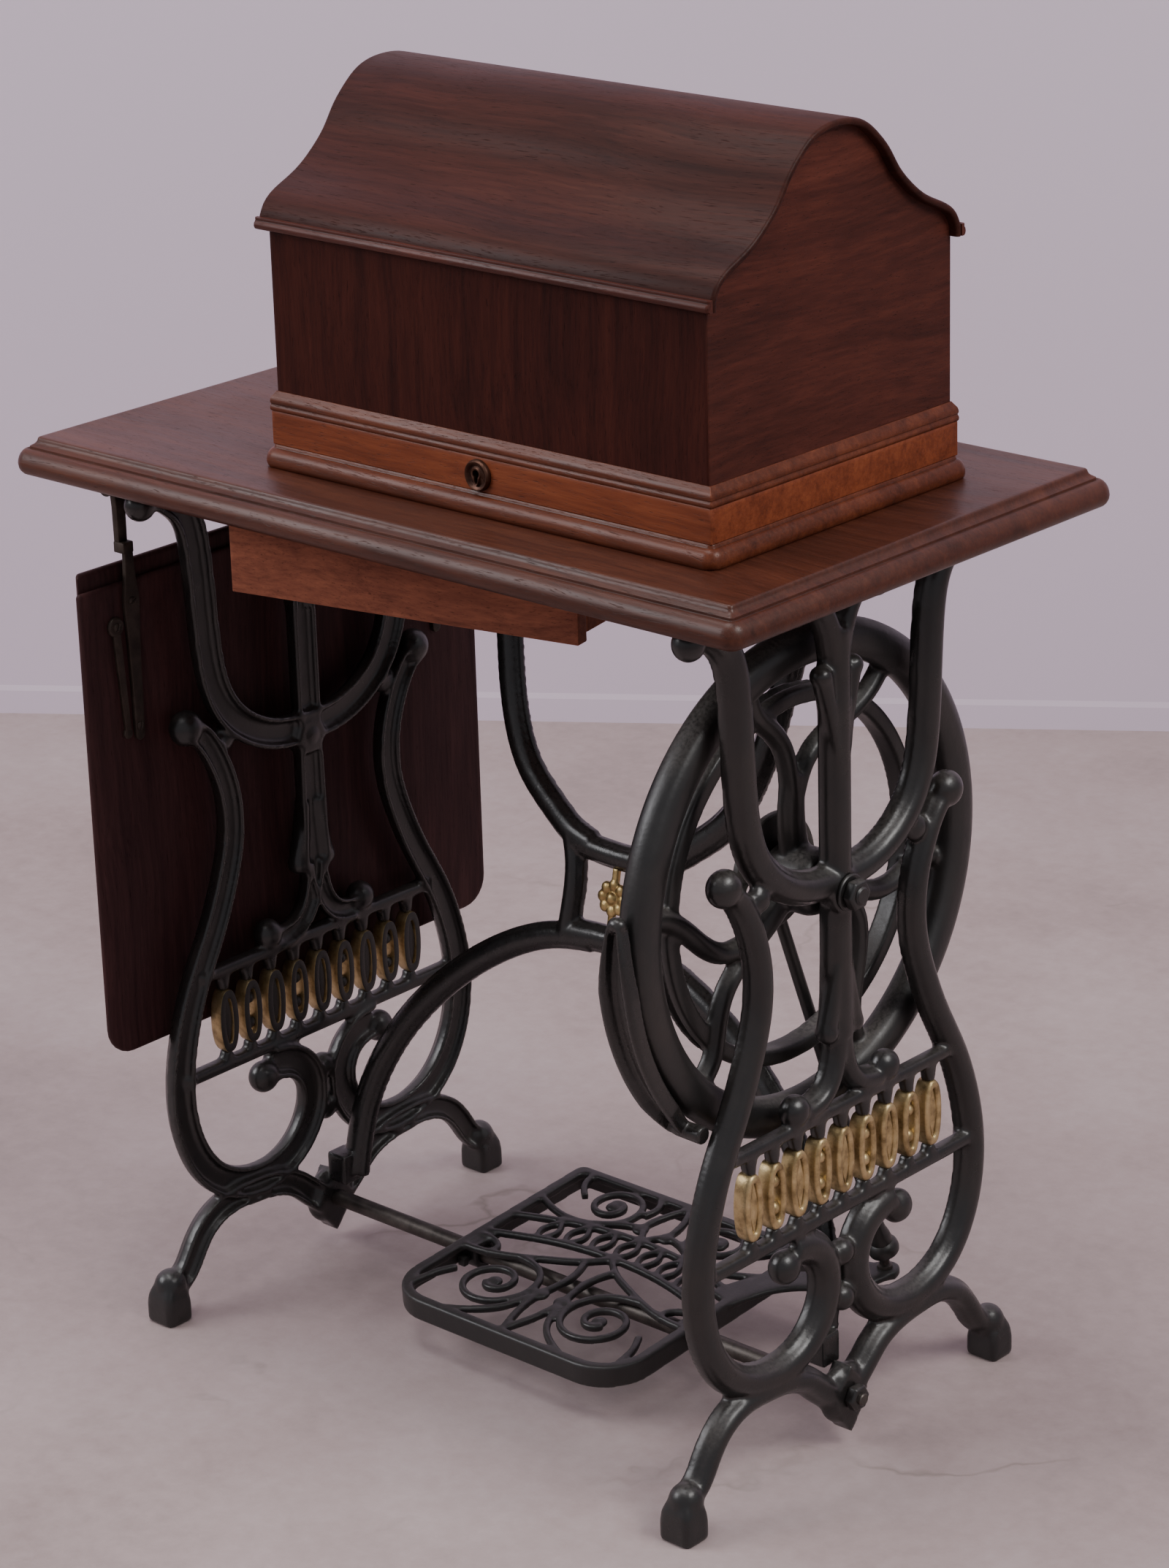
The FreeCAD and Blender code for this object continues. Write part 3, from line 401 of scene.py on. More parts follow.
def soften(obj, width, segments=2, angle=30):
    bevel = obj.modifiers.new("ease", "BEVEL")
    bevel.width = width * metres
    bevel.segments = segments
    bevel.limit_method = "ANGLE"
    bevel.angle_limit = math.radians(angle)
    bevel.harden_normals = False
    settle(obj)
    return obj


def melt(obj, grain, ease):
    # run separate bars together into one casting
    voxels = obj.modifiers.new("melt", "REMESH")
    voxels.mode = "VOXEL"
    voxels.voxel_size = grain * metres
    smooth = obj.modifiers.new("ease", "SMOOTH")
    smooth.factor = 0.5
    smooth.iterations = ease
    settle(obj)
    return obj


def smoothPath(points, pitch):
    # a natural cubic curve through the points, with its directions
    knots = np.array(points, float)
    spans = np.linalg.norm(np.diff(knots, axis=0), axis=1)
    at = np.concatenate([[0], np.cumsum(spans)])
    count = len(knots)
    system = np.eye(count)
    right = np.zeros_like(knots)
    for i in range(1, count - 1):
        system[i, i - 1:i + 2] = spans[i - 1], 2 * (spans[i - 1] + spans[i]), spans[i]
        right[i] = 6 * ((knots[i + 1] - knots[i]) / spans[i] - (knots[i] - knots[i - 1]) / spans[i - 1])
    second = np.linalg.solve(system, right)
    places, heads = [], []
    for t in np.linspace(0, at[-1], max(3, int(at[-1] / pitch) + 1)):
        i = min(max(int(np.searchsorted(at, t)) - 1, 0), count - 2)
        h, a, b = spans[i], at[i + 1] - t, t - at[i]
        places.append((second[i] * a ** 3 + second[i + 1] * b ** 3) / (6 * h)
                      + (knots[i] / h - second[i] * h / 6) * a + (knots[i + 1] / h - second[i + 1] * h / 6) * b)
        heads.append((-second[i] * a ** 2 + second[i + 1] * b ** 2) / (2 * h)
                     + (knots[i + 1] - knots[i]) / h - (second[i + 1] - second[i]) * h / 6)
    heads = np.array(heads)
    return np.array(places), heads / np.linalg.norm(heads, axis=1)[:, None]


def skin(rings, closed=False, caps=True):
    # joins rings of points; closed runs the last back to the first
    size = len(rings[0])
    points = [p for ring in rings for p in ring]
    faces = []
    for k in range(len(rings) if closed else len(rings) - 1):
        a, b = k * size, (k + 1) % len(rings) * size
        faces += [[a + i, a + (i + 1) % size, b + (i + 1) % size, b + i] for i in range(size)]
    if caps and not closed:
        faces += [list(range(size)), [len(points) - size + i for i in range(size)]]
    return points, faces


def bar(points, section, width, thick, pitch=5.0, lift=0.0, taper=(1.0, 1.0)):
    # sweeps a section of half-unit (across, out) pairs along a path in the u, v plane
    places, heads = smoothPath(points, pitch)
    rings = []
    for k, (place, head) in enumerate(zip(places, heads)):
        side = np.array([head[1], -head[0]])
        share = k / (len(places) - 1)
        wide = width * (taper[0] + (taper[1] - taper[0]) * share)
        rings.append([[*(place + side * a * wide), lift + b * thick] for a, b in section])
    return skin(rings)


def turned(profile, centre=(0, 0, 0), sides=32, axis=2, closed=False):
    # turns (radius, height) pairs about an axis; closed profiles make a ring
    order = {0: (2, 0, 1), 1: (0, 2, 1), 2: (0, 1, 2)}[axis]
    rings = []
    for radius, height in profile:
        ring = []
        for i in range(sides):
            angle = 2 * math.pi * i / sides
            flat = (max(radius, 0.01) * math.cos(angle), max(radius, 0.01) * math.sin(angle), height)
            ring.append([flat[order[c]] + centre[c] for c in range(3)])
        rings.append(ring)
    return skin(rings, closed)


def spindle(profile, centre=(0, 0, 0), sides=32, axis=2):
    # a turned solid, closed to a point at both ends
    tip = 0.01
    return turned([(tip, profile[0][1]), *profile, (tip, profile[-1][1])], centre, sides, axis)


def sideways(x, y, z, way=1):
    # local u = Y, v = Z and w = X, or against X
    return Matrix(((0, 0, way, x), (1, 0, 0, y), (0, 1, 0, z), (0, 0, 0, 1)))


def ball(u, v, radius, half, w=0.0):
    # a flattened cast ball
    profile = [(radius * math.sin(math.pi * i / 12), -half * math.cos(math.pi * i / 12)) for i in range(13)]
    return turned(profile, (u, v, w), 24)


def slab(outline, low, high):
    return skin([[[u, v, low] for u, v in outline], [[u, v, high] for u, v in outline]])


def squareBlock(u0, u1, v0, v1, low, high):
    return slab([(u0, v0), (u1, v0), (u1, v1), (u0, v1)], low, high)


def roundedRing(low, high, radii, level, steps=6):
    # a rectangle with rounded corners; radii go round from the lower left
    corners = [(low[0], low[1], 1, 1, 180), (high[0], low[1], -1, 1, 270),
               (high[0], high[1], -1, -1, 0), (low[0], high[1], 1, -1, 90)]
    ring = []
    for (x, y, sx, sy, start), radius in zip(corners, radii):
        radius = max(radius, 0.3)
        for i in range(steps + 1):
            angle = math.radians(start + 90 * i / steps)
            ring.append([x + radius * (sx + math.cos(angle)), y + radius * (sy + math.sin(angle)), level])
    return ring


def boardPiece(name, low, high, ease=0.9, turn=None):
    obj = meshObject(name, [squareBlock(low[0], high[0], low[1], high[1], low[2], high[2])], turn)
    return soften(obj, ease)


print("workshop ready")

# ---- wooden top

topCorner = 14


def makeTop():
    low, high = cadBox("table_top")
    drop = high[2]
    profile = [(17, 0), (15.9, -0.3), (15.2, -1.2), (14.9, -2.6), (14.2, -4.2), (12.9, -5.6), (11.4, -6.5),
               (10.5, -7.2), (10.3, -8.9), (9.6, -9.5), (8.9, -8.9), (7.6, -9.0), (5.4, -10.2), (3.2, -12.2),
               (1.5, -14.8), (0.4, -17.8), (0, -20.4), (0.5, -23.4), (2.0, -26.2), (4.4, -28.4), (7.4, -29.6),
               (11, -30)]
    rings = [roundedRing(low[:2] + inset, high[:2] - inset, [max(topCorner - inset * 1.25, 3)] * 4, drop + z)
             for inset, z in profile]
    top = meshObject("tableTopBoard", [skin(rings)])
    dressPiece(top, topWood, "stand", "table_top")


makeTop()

# ---- bonnet lid

roofHalf = [(0.0, 1.0), (0.09, 0.992), (0.22, 0.94), (0.325, 0.84), (0.415, 0.72), (0.49, 0.585),
            (0.58, 0.47), (0.69, 0.365), (0.80, 0.295), (0.90, 0.235), (0.965, 0.165), (1.0, 0.08)]


def roofLine(inset, pitch=5.0):
    front, back = cadBox("lid_roof")
    middle = (front[1] + back[1]) / 2
    reach = (back[1] - front[1]) / 2 - inset
    rise = back[2] - front[2] - inset
    half = [(reach * u, front[2] + rise * v) for u, v in roofHalf]
    line = [(-u, v) for u, v in reversed(half[1:])] + half
    places, heads = smoothPath(line, pitch)
    places[:, 0] += middle
    return places, heads


def makeRoof():
    low, high = cadBox("lid_roof")
    places, heads = roofLine(0)
    outs = np.stack([-heads[:, 1], heads[:, 0]], 1)
    thick, nose = 5.6, 2.6
    section = []
    for i in range(7):  # the bullnose along the two gables
        angle = math.pi * i / 6
        section.append((nose * (1 - math.sin(angle)), -thick / 2 + thick / 2 * math.cos(angle)))
    rings = []
    for place, out in zip(places, outs):
        left = [[low[0] + across, *(place + out * depth)] for across, depth in section]
        right = [[high[0] - across, *(place + out * depth)] for across, depth in reversed(section)]
        rings.append(left + right)
    for which in (0, -1):  # run down to the drip edge
        foot = [[x, y, low[2]] for x, y, z in rings[which]]
        rings.insert(0, foot) if which == 0 else rings.append(foot)
    roof = meshObject("lidRoofShell", [skin(rings)])
    dressPiece(roof, roofWood, "lid", "lid_roof", 50)


def mitredBoard(name, outer, inner, low, high):
    # a board with mitred ends; outer and inner are its two long edges in plan
    outline = [outer[0], outer[1], inner[1], inner[0]]
    return soften(meshObject(name, [slab(outline, low, high)]), 1.0)


def makeLidPanels():
    left, right = cadBox("lid_end_left"), cadBox("lid_end_right")
    front, back = cadBox("lid_front"), cadBox("lid_back")
    x0, x1, wall = left[0][0], right[1][0], left[1][0] - left[0][0]
    y0, y1, z0, z1 = front[0][1], back[1][1], front[0][2], front[1][2]
    for name, node, y, inner in (("lidFrontBoard", "lid_front", y0, y0 + wall),
                                 ("lidBackBoard", "lid_back", y1, y1 - wall)):
        board = mitredBoard(name, ((x0, y), (x1, y)), ((x0 + wall, inner), (x1 - wall, inner)), z0, z1)
        dressPiece(board, frontWood, "lid", node)
    places, _ = roofLine(5.8, 7.0)
    arch = [tuple(p) for p in places if y0 + 0.5 < p[0] < y1 - 0.5]
    for name, node, outside, inside in (("lidEndBoardLeft", "lid_end_left", x0, x0 + wall),
                                        ("lidEndBoardRight", "lid_end_right", x1, x1 - wall)):
        rings = []
        for x, inset in ((outside, 0.6), (outside + (inside - outside) * 0.05, 0), (inside, wall - 0.1)):
            ring = [[x, y0 + inset, z0], [x, y1 - inset, z0], [x, y1 - inset, z1]]
            ring += [[x, min(max(y, y0 + inset), y1 - inset), z] for y, z in reversed(arch)]
            ring += [[x, y0 + inset, z1]]
            rings.append(ring)
        end = meshObject(name, [skin(rings)])
        dressPiece(end, endWood, "lid", node)


def mouldedFrame(name, node, profile, corner, material, body):
    # runs a moulding round a rectangle; profile holds (in from the outside, up from below)
    low, high = cadBox(node)
    rings = [roundedRing(low[:2] + inset, high[:2] - inset, [max(corner - inset, 0.4)] * 4, low[2] + up)
             for inset, up in profile]
    obj = meshObject(name, [skin(rings, closed=True)])
    return dressPiece(obj, material, body, node)


def makeLidMouldings():
    mouldedFrame("lidBaseBead", "lid_bead", [
        (2.0, 0), (0.7, 1.2), (0.0, 3.6), (0.1, 6.6), (1.0, 9.8), (2.6, 12.3), (4.6, 13.9), (6.2, 14.5),
        (6.6, 15.2), (6.8, 16.6), (7.2, 17), (11, 17), (11, 0)], 11, trimWood, "lid")
    mouldedFrame("lidBand", "lid_band", [
        (0.5, 0), (0, 0.6), (0, 12), (0, 25.2), (0.5, 26), (4, 26), (4, 0)], 1.2, bandWood, "lid")
    mouldedFrame("lidCapMoulding", "lid_cove", [
        (1.2, 0), (0.3, 0.8), (0, 2.2), (0.3, 3.7), (1.0, 4.6), (1.1, 5.6), (0.5, 6.1), (0.3, 7.2), (0.5, 8.6),
        (1.1, 10.2), (2.0, 11.6), (3.0, 12.9), (3.8, 14.2), (4.4, 15), (5, 15), (5, 0)], 1.5, trimWood, "lid")
    for name, node, out in (("roofBeadFront", "roof_bead_front", -1), ("roofBeadBack", "roof_bead_back", 1)):
        low, high = cadBox(node)
        face, root = (low[1], high[1]) if out < 0 else (high[1], low[1])
        shape = [(0.0, 0.0), (0.55, 0.0), (0.86, 0.10), (1.0, 0.32), (0.93, 0.55), (0.70, 0.70), (0.62, 0.78),
                 (0.66, 0.88), (0.60, 1.0), (0.0, 1.0)]
        rings = []
        for x, shrink in ((low[0], 0.72), (low[0] + 1.0, 0.94), (low[0] + 2.4, 1), (high[0] - 2.4, 1),
                          (high[0] - 1.0, 0.94), (high[0], 0.72)):
            rings.append([[x, root + (face - root) * a * shrink, low[2] + (high[2] - low[2]) * b] for a, b in shape])
        bead = meshObject(name, [skin(rings)])
        dressPiece(bead, eaveWood, "lid", node)


def makeLock():
    low, high = cadBox("key_escutcheon")
    centre, out, back, rim = (low + high) / 2, low[1], high[1], (high[0] - low[0]) / 2
    sides = 64
    keyhole = []
    for i in range(sides):  # a round eye over a flared slot
        angle = 2 * math.pi * i / sides
        c, s = math.cos(angle), math.sin(angle)
        reach = 3.1 + max(0, -s) ** 14 * 4.4
        keyhole.append((reach * c, reach * s + 1.4))
    plan = [("hole", 0.0, 1.0), ("hole", 0.0, 0.1), ("lip", 1.3, 0.0), ("lip", 2.1, 0.25), ("ring", 7.2, 0.42),
            ("ring", 8.3, 0.30), ("ring", 9.4, 0.06), ("ring", 10.6, 0.0), ("ring", 11.5, 0.22), ("ring", rim, 0.62),
            ("ring", rim, 1.0)]
    rings = []
    for kind, reach, depth in plan:
        ring = []
        for i, (hx, hz) in enumerate(keyhole):
            angle = 2 * math.pi * i / sides
            if kind == "ring":
                x, z = reach * math.cos(angle), reach * math.sin(angle)
            else:
                length = math.hypot(hx, hz)
                x, z = hx * (1 + reach / length), hz * (1 + reach / length)
            ring.append([centre[0] + x, out + (back - out) * depth, centre[2] + z])
        rings.append(ring)
    plate = meshObject("keyEscutcheon", [skin(rings)])
    for face in plate.data.polygons:
        spot = face.center / metres
        away = math.hypot(spot[0] - centre[0], spot[2] - centre[2] - 1)
        if away < 6.0:
            face.material_index = 1
        if away < 3.0 and len(face.vertices) > 4:
            face.material_index = 2
    dressPiece(plate, bronze, "lid", "key_escutcheon")
    for extra in (lockSteel, keyDark):
        plate.data.materials.append(extra)


makeRoof()
makeLidPanels()
makeLidMouldings()
makeLock()
print("top and lid made")

# ---- hanging leaf

leafEdge = {"corner": 25, "tongue": 14}


def makeLeaf():
    low, high = cadBox("drop_leaf")
    ledge, crown = high[2] - leafEdge["tongue"], high[2]
    # from the face that looks at the stand to the moulded outer face: in from the edge, top of the board
    plan = [(0, 2.6, ledge - 2.2), (-0.5, 0.9, ledge - 0.8), (-1.6, 0.1, ledge), (-2.8, 0, ledge + 0.2),
            (-4.0, 0.1, ledge - 0.2), (-4.6, 1.0, ledge - 1.2), (-5.2, 3.6, ledge - 1.2), (-5.5, 4.0, ledge + 1),
            (-5.7, 4.1, crown - 4), (-6.4, 4.4, crown - 1.6), (-7.8, 5.0, crown - 0.3), (-9.4, 6.0, crown),
            (-11.6, 7.8, crown - 0.4), (-14, 10, crown - 1.8), (-16, 12.4, crown - 4.4), (-17, 14.6, crown - 8)]
    rings = []
    for away, inset, top in plan:
        bottom = max(leafEdge["corner"] - inset, 1)
        flat = roundedRing((low[1] + inset, low[2] + inset), (high[1] - inset, top), [bottom, bottom, 3, 3], 0)
        rings.append([[high[0] + away, y, z] for y, z, _ in flat])
    board = meshObject("dropLeafBoard", [skin(rings)])
    dressPiece(board, leafWood, "leaf", "drop_leaf")


def layOut(obj, name, inputs, material, kinds, wires):
    # Geometry Nodes: sets instances out on points, makes them real and gives them a finish
    inputs = {"Geometry": ("Geometry", None), **inputs, "Finish": ("Material", material)}
    kinds = {"start": ("NodeGroupInput", {}), "end": ("NodeGroupOutput", {}),
             "stand": ("GeometryNodeInstanceOnPoints", {}), "real": ("GeometryNodeRealizeInstances", {}),
             "coat": ("GeometryNodeSetMaterial", {}), **kinds}
    wires = wires + [("stand", 0, "real", 0), ("real", 0, "coat", "Geometry"),
                     ("start", "Finish", "coat", "Material"), ("coat", 0, "end", 0)]
    tree = bpy.data.node_groups.new(name, "GeometryNodeTree")
    for label, (kind, _) in inputs.items():
        tree.interface.new_socket(label, in_out="INPUT", socket_type="NodeSocket" + kind)
    tree.interface.new_socket("Geometry", in_out="OUTPUT", socket_type="NodeSocketGeometry")
    nodes = {}
    for short, (kind, settings) in kinds.items():
        nodes[short] = tree.nodes.new(kind)
        for key, value in settings.items():
            if key in ("Name", "Max"):
                nodes[short].inputs[key].default_value = value
            else:
                setattr(nodes[short], key, value)
    for source, out, target, into in wires:
        tree.links.new(nodes[source].outputs[out], nodes[target].inputs[into])
    layout = obj.modifiers.new("layout", "NODES")
    layout.node_group = tree
    for item in tree.interface.items_tree:
        if item.in_out == "INPUT" and inputs[item.name][1] is not None:
            layout[item.identifier] = inputs[item.name][1]
    settle(obj)


def lathedSet(name, spots, head, material, body, node, seed=3):
    # one slotted head stands on every spot, turned at random
    vertices, facings = zip(*spots)
    cloud = bpy.data.meshes.new(name)
    cloud.from_pydata([tuple(c * metres for c in spot) for spot in vertices], [], [])
    lay = cloud.attributes.new("facing", "FLOAT_VECTOR", "POINT")
    lay.data.foreach_set("vector", [c for facing in facings for c in facing])
    holder = placed(name, cloud)
    layOut(holder, name + "Layout", {"Head": ("Object", head), "Seed": ("Int", seed)}, material, {
        "heads": ("GeometryNodeObjectInfo", {}),
        "facing": ("GeometryNodeInputNamedAttribute", {"data_type": "FLOAT_VECTOR", "Name": "facing"}),
        "aim": ("FunctionNodeAlignRotationToVector", {"axis": "Z"}),
        "spin": ("FunctionNodeRandomValue", {"data_type": "FLOAT", "Max": math.pi}),
        "roll": ("FunctionNodeAxisAngleToRotation", {}),
        "both": ("FunctionNodeRotateRotation", {"rotation_space": "LOCAL"})}, [
        ("start", "Head", "heads", "Object"), ("start", "Seed", "spin", "Seed"),
        ("facing", "Attribute", "aim", "Vector"), ("spin", 1, "roll", "Angle"), ("aim", 0, "both", "Rotation"),
        ("roll", 0, "both", "Rotate By"), ("start", "Geometry", "stand", "Points"),
        ("heads", "Geometry", "stand", "Instance"), ("both", 0, "stand", "Rotation")])
    bpy.data.objects.remove(head)
    return dressPiece(holder, material, body, node, 40, 0.0008)


def everything(shape):
    return shape.verts[:] + shape.edges[:] + shape.faces[:]


def screwHead(radius, height):
    # a domed wood-screw head with a driver slot across it
    profile = [(0.01, -0.6), (radius, -0.6), (radius, height * 0.25), (radius * 0.93, height * 0.55),
               (radius * 0.72, height * 0.82), (radius * 0.4, height * 0.97), (0.01, height)]
    head = meshObject("screwHead", [turned(profile, sides=20)])
    with editing(head.data) as shape:
        for sign in (-1, 1):
            bmesh.ops.bisect_plane(shape, geom=everything(shape),
                                   plane_co=(0, sign * radius * 0.13 * metres, 0), plane_no=(0, 1, 0))
        for vertex in shape.verts:
            if abs(vertex.co.y) < radius * 0.14 * metres and vertex.co.z > height * 0.2 * metres:
                vertex.co.z = height * 0.35 * metres
    return head


def arcPoints(cx, cy, radius, start, end, count=12):
    return [(cx + radius * math.cos(math.radians(start + (end - start) * i / count)),
             cy + radius * math.sin(math.radians(start + (end - start) * i / count))) for i in range(count + 1)]


def makeLeafIron():
    for name, sign in (("front", -1), ("back", 1)):
        face = cadBox("drop_leaf")[1][0]
        pivot = middleOf("leaf_pin_" + name)
        y = pivot[1]
        turn = sideways(face, y, pivot[2])
        half = [(4.4, -50), (4.8, -66), (6.2, -82), (7.9, -96), (7.2, -112), (6.0, -135), (5.2, -165), (4.6, -206)]
        right = [tuple(p) for p in smoothPath(half, 5.0)[0]]
        blade = right + arcPoints(0, -207.5, 4.6, 0, -180, 8)[1:-1] + [(-u, v) for u, v in reversed(right)]
        neck = [(-4.6, -52), (-5.0, -20), (-6.4, -4), (6.4, -4), (5.0, -20), (4.6, -52)]
        arm = meshObject("leafArm_" + name, [
            slab(blade, 0, 4.0),
            spindle([(4.3, -7), (4.3, 7)], (0, 0, 0), 24, 0)], turn)
        arm = soften(arm, 0.9, 2, 40)
        collar = meshObject("neck", [slab(neck, 0, 6), squareBlock(-5.4, 5.4, -57, -48, 0, face - pivot[0] + 6.8)],
                            sideways(pivot[0] - 3, y, pivot[2]))
        joinObjects(arm, soften(collar, 0.9, 2, 40))
        dressPiece(arm, armIron, "leaf", "leaf_arm_" + name)
        lean, foot = sign * 17, sign * 11.5
        strip = [(lean - 3.8, -118), (lean + 3.8, -118), (foot + 3, -202), (foot - 3, -202)]
        stay = meshObject("leafStay_" + name, [
            slab(strip, 0, 3.0), spindle([(8, 0), (8, 2.2), (6.6, 3.5)], (lean, -114, 0)),
            spindle([(4.5, 0), (4.5, 2.2), (3.6, 3)], (foot, -204, 0), 24)], turn)
        dressPiece(soften(stay, 0.6, 2, 40), armIron, "leaf", "leaf_stay_" + name)
        spots = [((face + 3.9, y, pivot[2] - 200), (1, 0, 0)), ((face + 3.9, y, pivot[2] - 96), (1, 0, 0)),
                 ((face + 3.4, y + lean, pivot[2] - 114), (1, 0, 0))]
        lathedSet("leafScrews_" + name, spots, screwHead(3.6, 1.7), armIron, "leaf", "leaf_screws_" + name)
        makeBracket(name, pivot)


def makeBracket(name, pivot):
    low, high = cadBox("leaf_bracket_" + name)
    x, y, z = pivot
    foot = meshObject("leafBracket_" + name, [squareBlock(low[0], high[0], low[1], high[1], high[2] - 1.5, high[2])])
    soften(foot, 0.5)
    for side in (-1, 1):
        outline = [(x - 9, high[2] - 1), *arcPoints(x, z - 1.5, 8, 180, 360, 14), (x + 9, high[2] - 1)]
        turn = Matrix(((1, 0, 0, 0), (0, 0, 1, y + side * 10.5), (0, 1, 0, 0), (0, 0, 0, 1)))
        cheek = soften(meshObject("cheek", [slab(outline, -2.5, 2.5)], turn), 0.6, 2, 40)
        joinObjects(foot, cheek)
    dressPiece(foot, armIron, "stand", "leaf_bracket_" + name)
    pin = meshObject("leafPin_" + name, [spindle([(1.9, -14), (2.5, -13.2), (2.5, 13.2), (1.9, 14)],
                                                  (x, y, z), 20, 1)])
    dressPiece(pin, rodSteel, "stand", "leaf_pin_" + name)


def joinObjects(keep, *others):
    with editing(keep.data) as shape:
        for other in others:
            shape.from_mesh(other.data)
            bpy.data.objects.remove(other)
    return keep


makeLeaf()
makeLeafIron()
print("leaf made")

# ---- swing drawer

drawerPlan = {"corner": (-162, -185, 655), "turn": 11.7, "length": 305, "depth": 180, "front": 13, "side": 9,
              "height": 63, "floor": 7}


def makeDrawer():
    plan = drawerPlan
    length, depth, front, side = plan["length"], plan["depth"], plan["front"], plan["side"]
    top, floor = plan["height"], plan["floor"]
    turn = Matrix.Translation(plan["corner"]) @ Matrix.Rotation(math.radians(plan["turn"]), 4, "Z")
    boards = {"front": ((0, 0, 0), (length, front, top)), "left": ((0, front, floor), (side, depth, top - 4)),
              "right": ((length - side, front, floor), (length, depth, top - 4)),
              "back": ((side, depth - side, floor), (length - side, depth, top - 4)),
              "floor": ((side, front, floor), (length - side, depth - side, floor + 5)),
              "block": ((length - side - 24, depth - side - 24, floor + 5), (length - side, depth - side, top - 4))}
    for name, (low, high) in boards.items():
        board = boardPiece("drawer_" + name + "_board", low, high, 1.0 if name == "front" else 0.6, turn)
        dressPiece(board, drawerWood if name == "front" else plainWood, "drawer", "drawer_" + name)


makeDrawer()
print("drawer made")

# ---- castings

# half-round outside with a thin flange, hollowed inside between two lips
roundBead = [(math.sin(math.radians(a)) * 0.37, 0.12 + 0.38 * math.cos(math.radians(a))) for a in range(-90, 91, 15)]
castSection = [(-0.5, -0.46), (-0.5, -0.04), (-0.47, 0.04), (-0.42, 0.08)] + roundBead + [
    (0.42, 0.08), (0.47, 0.04), (0.5, -0.04), (0.5, -0.46), (0.47, -0.5), (0.37, -0.5), (0.345, -0.44), (0.32, -0.14),
    (-0.32, -0.14), (-0.345, -0.44), (-0.37, -0.5), (-0.47, -0.5)]
roundSection = [(0.5 * math.cos(math.radians(a)), 0.5 * math.sin(math.radians(a))) for a in range(0, 360, 24)]
softSection = [(math.copysign(abs(math.cos(math.radians(a))) ** 0.6, math.cos(math.radians(a))) * 0.5,
                math.copysign(abs(math.sin(math.radians(a))) ** 0.6, math.sin(math.radians(a))) * 0.5)
               for a in range(0, 360, 20)]

lyre = [(148, 705), (123, 684), (112, 645), (109, 600), (106, 560), (99, 528), (85, 504), (62, 485),
        (34, 474), (0, 471)]
pear = [(131, 504), (119, 495), (107, 478), (97, 455), (91, 424), (93, 395), (102, 365), (118, 328), (141, 285),
        (157, 242), (164, 203), (162, 167), (151, 135), (130, 109), (101, 95), (71, 93), (46, 101),
        (26, 120), (17, 145), (22, 168), (40, 184), (60, 188)]
leg = [(189, 27), (172, 38), (160, 55), (144, 73), (122, 83), (95, 84), (68, 81), (44, 72), (26, 57), (10, 44)]
topHook = [(2, 640), (8, 668), (22, 690), (40, 699)]
lowHook = [(2, 352), (6, 325), (20, 303), (44, 296)]
ornamentRow = {"count": 9, "pitch": 27.0, "low": 216.0, "high": 271.0, "wide": 20.5, "thick": 13.5}


def flipped(points):
    return [(-u, v) for u, v in points]


def frameParts(hub):
    parts = []
    for way in (lambda p: p, flipped):
        parts += [bar(way(lyre), castSection, 26.5, 20), bar(way(pear), castSection, 28, 20, taper=(0.72, 1.06)),
                  bar(way(leg), castSection, 22, 20, taper=(0.92, 1.1)), bar(way(topHook), castSection, 20, 18),
                  bar(way(lowHook), castSection, 18, 18)]
    for s in (-1, 1):
        parts += [ball(s * 163, 698, 13.5, 12), ball(s * 130, 504, 15, 13), ball(s * 92, 484, 11, 8),
                  ball(s * 68, 178, 14, 12), ball(s * 47, 690, 11, 10.5), ball(s * 54, 302, 13, 11.5),
                  bar([(s * 7, 572), (s * 10, 600), (s * 17, 634)], roundSection, 15, 17, 4.0, taper=(0.3, 1.1)),
                  ball(s * 18, 634, 8.5, 9), ball(s * 15, 352, 9, 9.5),
                  bar([(s * 7, 405), (s * 11, 376), (s * 15, 354)], roundSection, 16, 17, 4.0, taper=(0.4, 1.1))]
        parts += [squareBlock(min(s * 118, s * 165), max(s * 118, s * 165), 707, 720, -9, 9)]
        parts += footParts(s)
    parts += [bar([(0, 668), (0, 560), (0, 470)], castSection, 25, 20),
              bar([(0, 470), (0, 400), (0, 346)], castSection, 25, 20, taper=(0.98, 1.12))]
    parts += [bar([(-134, 288), (0, 288), (134, 288)], softSection, 10, 13),
              bar([(-158, 204), (0, 204), (158, 204)], softSection, 11, 13)]
    parts += [ball(0, 165, 11, 10), ball(0, 126, 11, 10), ball(0, 44, 25, 10.5),
              slab([(-20, 44), (-12, 26), (0, 12), (12, 26), (20, 44), (0, 70)], -9.5, 9.5)]
    parts += [spindle([(14, -10), (15.5, -9), (17, 8), (15.5, 10)], (0, 463, 0), 40)]
    if not hub:
        parts += [ball(0, 463, 14, 12)]
    parts += archParts()
    return parts


def footParts(s):
    # a flared block foot under a round ankle
    rings = []
    for z, half, deep in ((0, 12.6, 14.2), (1.5, 13.5, 15), (16, 13.5, 15), (24, 12.6, 14), (31, 10, 11.5),
                          (36, 6, 7)):
        flat = roundedRing((s * 189 - half, -deep), (s * 189 + half, deep), [5] * 4, 0)
        rings.append([[u, z, w] for u, w, _ in flat])
    return [skin(rings), ball(s * 186, 31, 14, 13.5)]


def archParts():
    # stubs that carry the ornaments
    row = ornamentRow
    parts = []
    for i in range(row["count"]):
        u = (i - (row["count"] - 1) / 2) * row["pitch"]
        parts += [bar([(u, 203), (u, 209), (u, 217)], softSection, 9, 11, 3.0, taper=(1.9, 0.8)),
                  bar([(u, 289), (u, 280), (u, 270)], softSection, 9, 11, 3.0, taper=(1.9, 0.8))]
    return parts


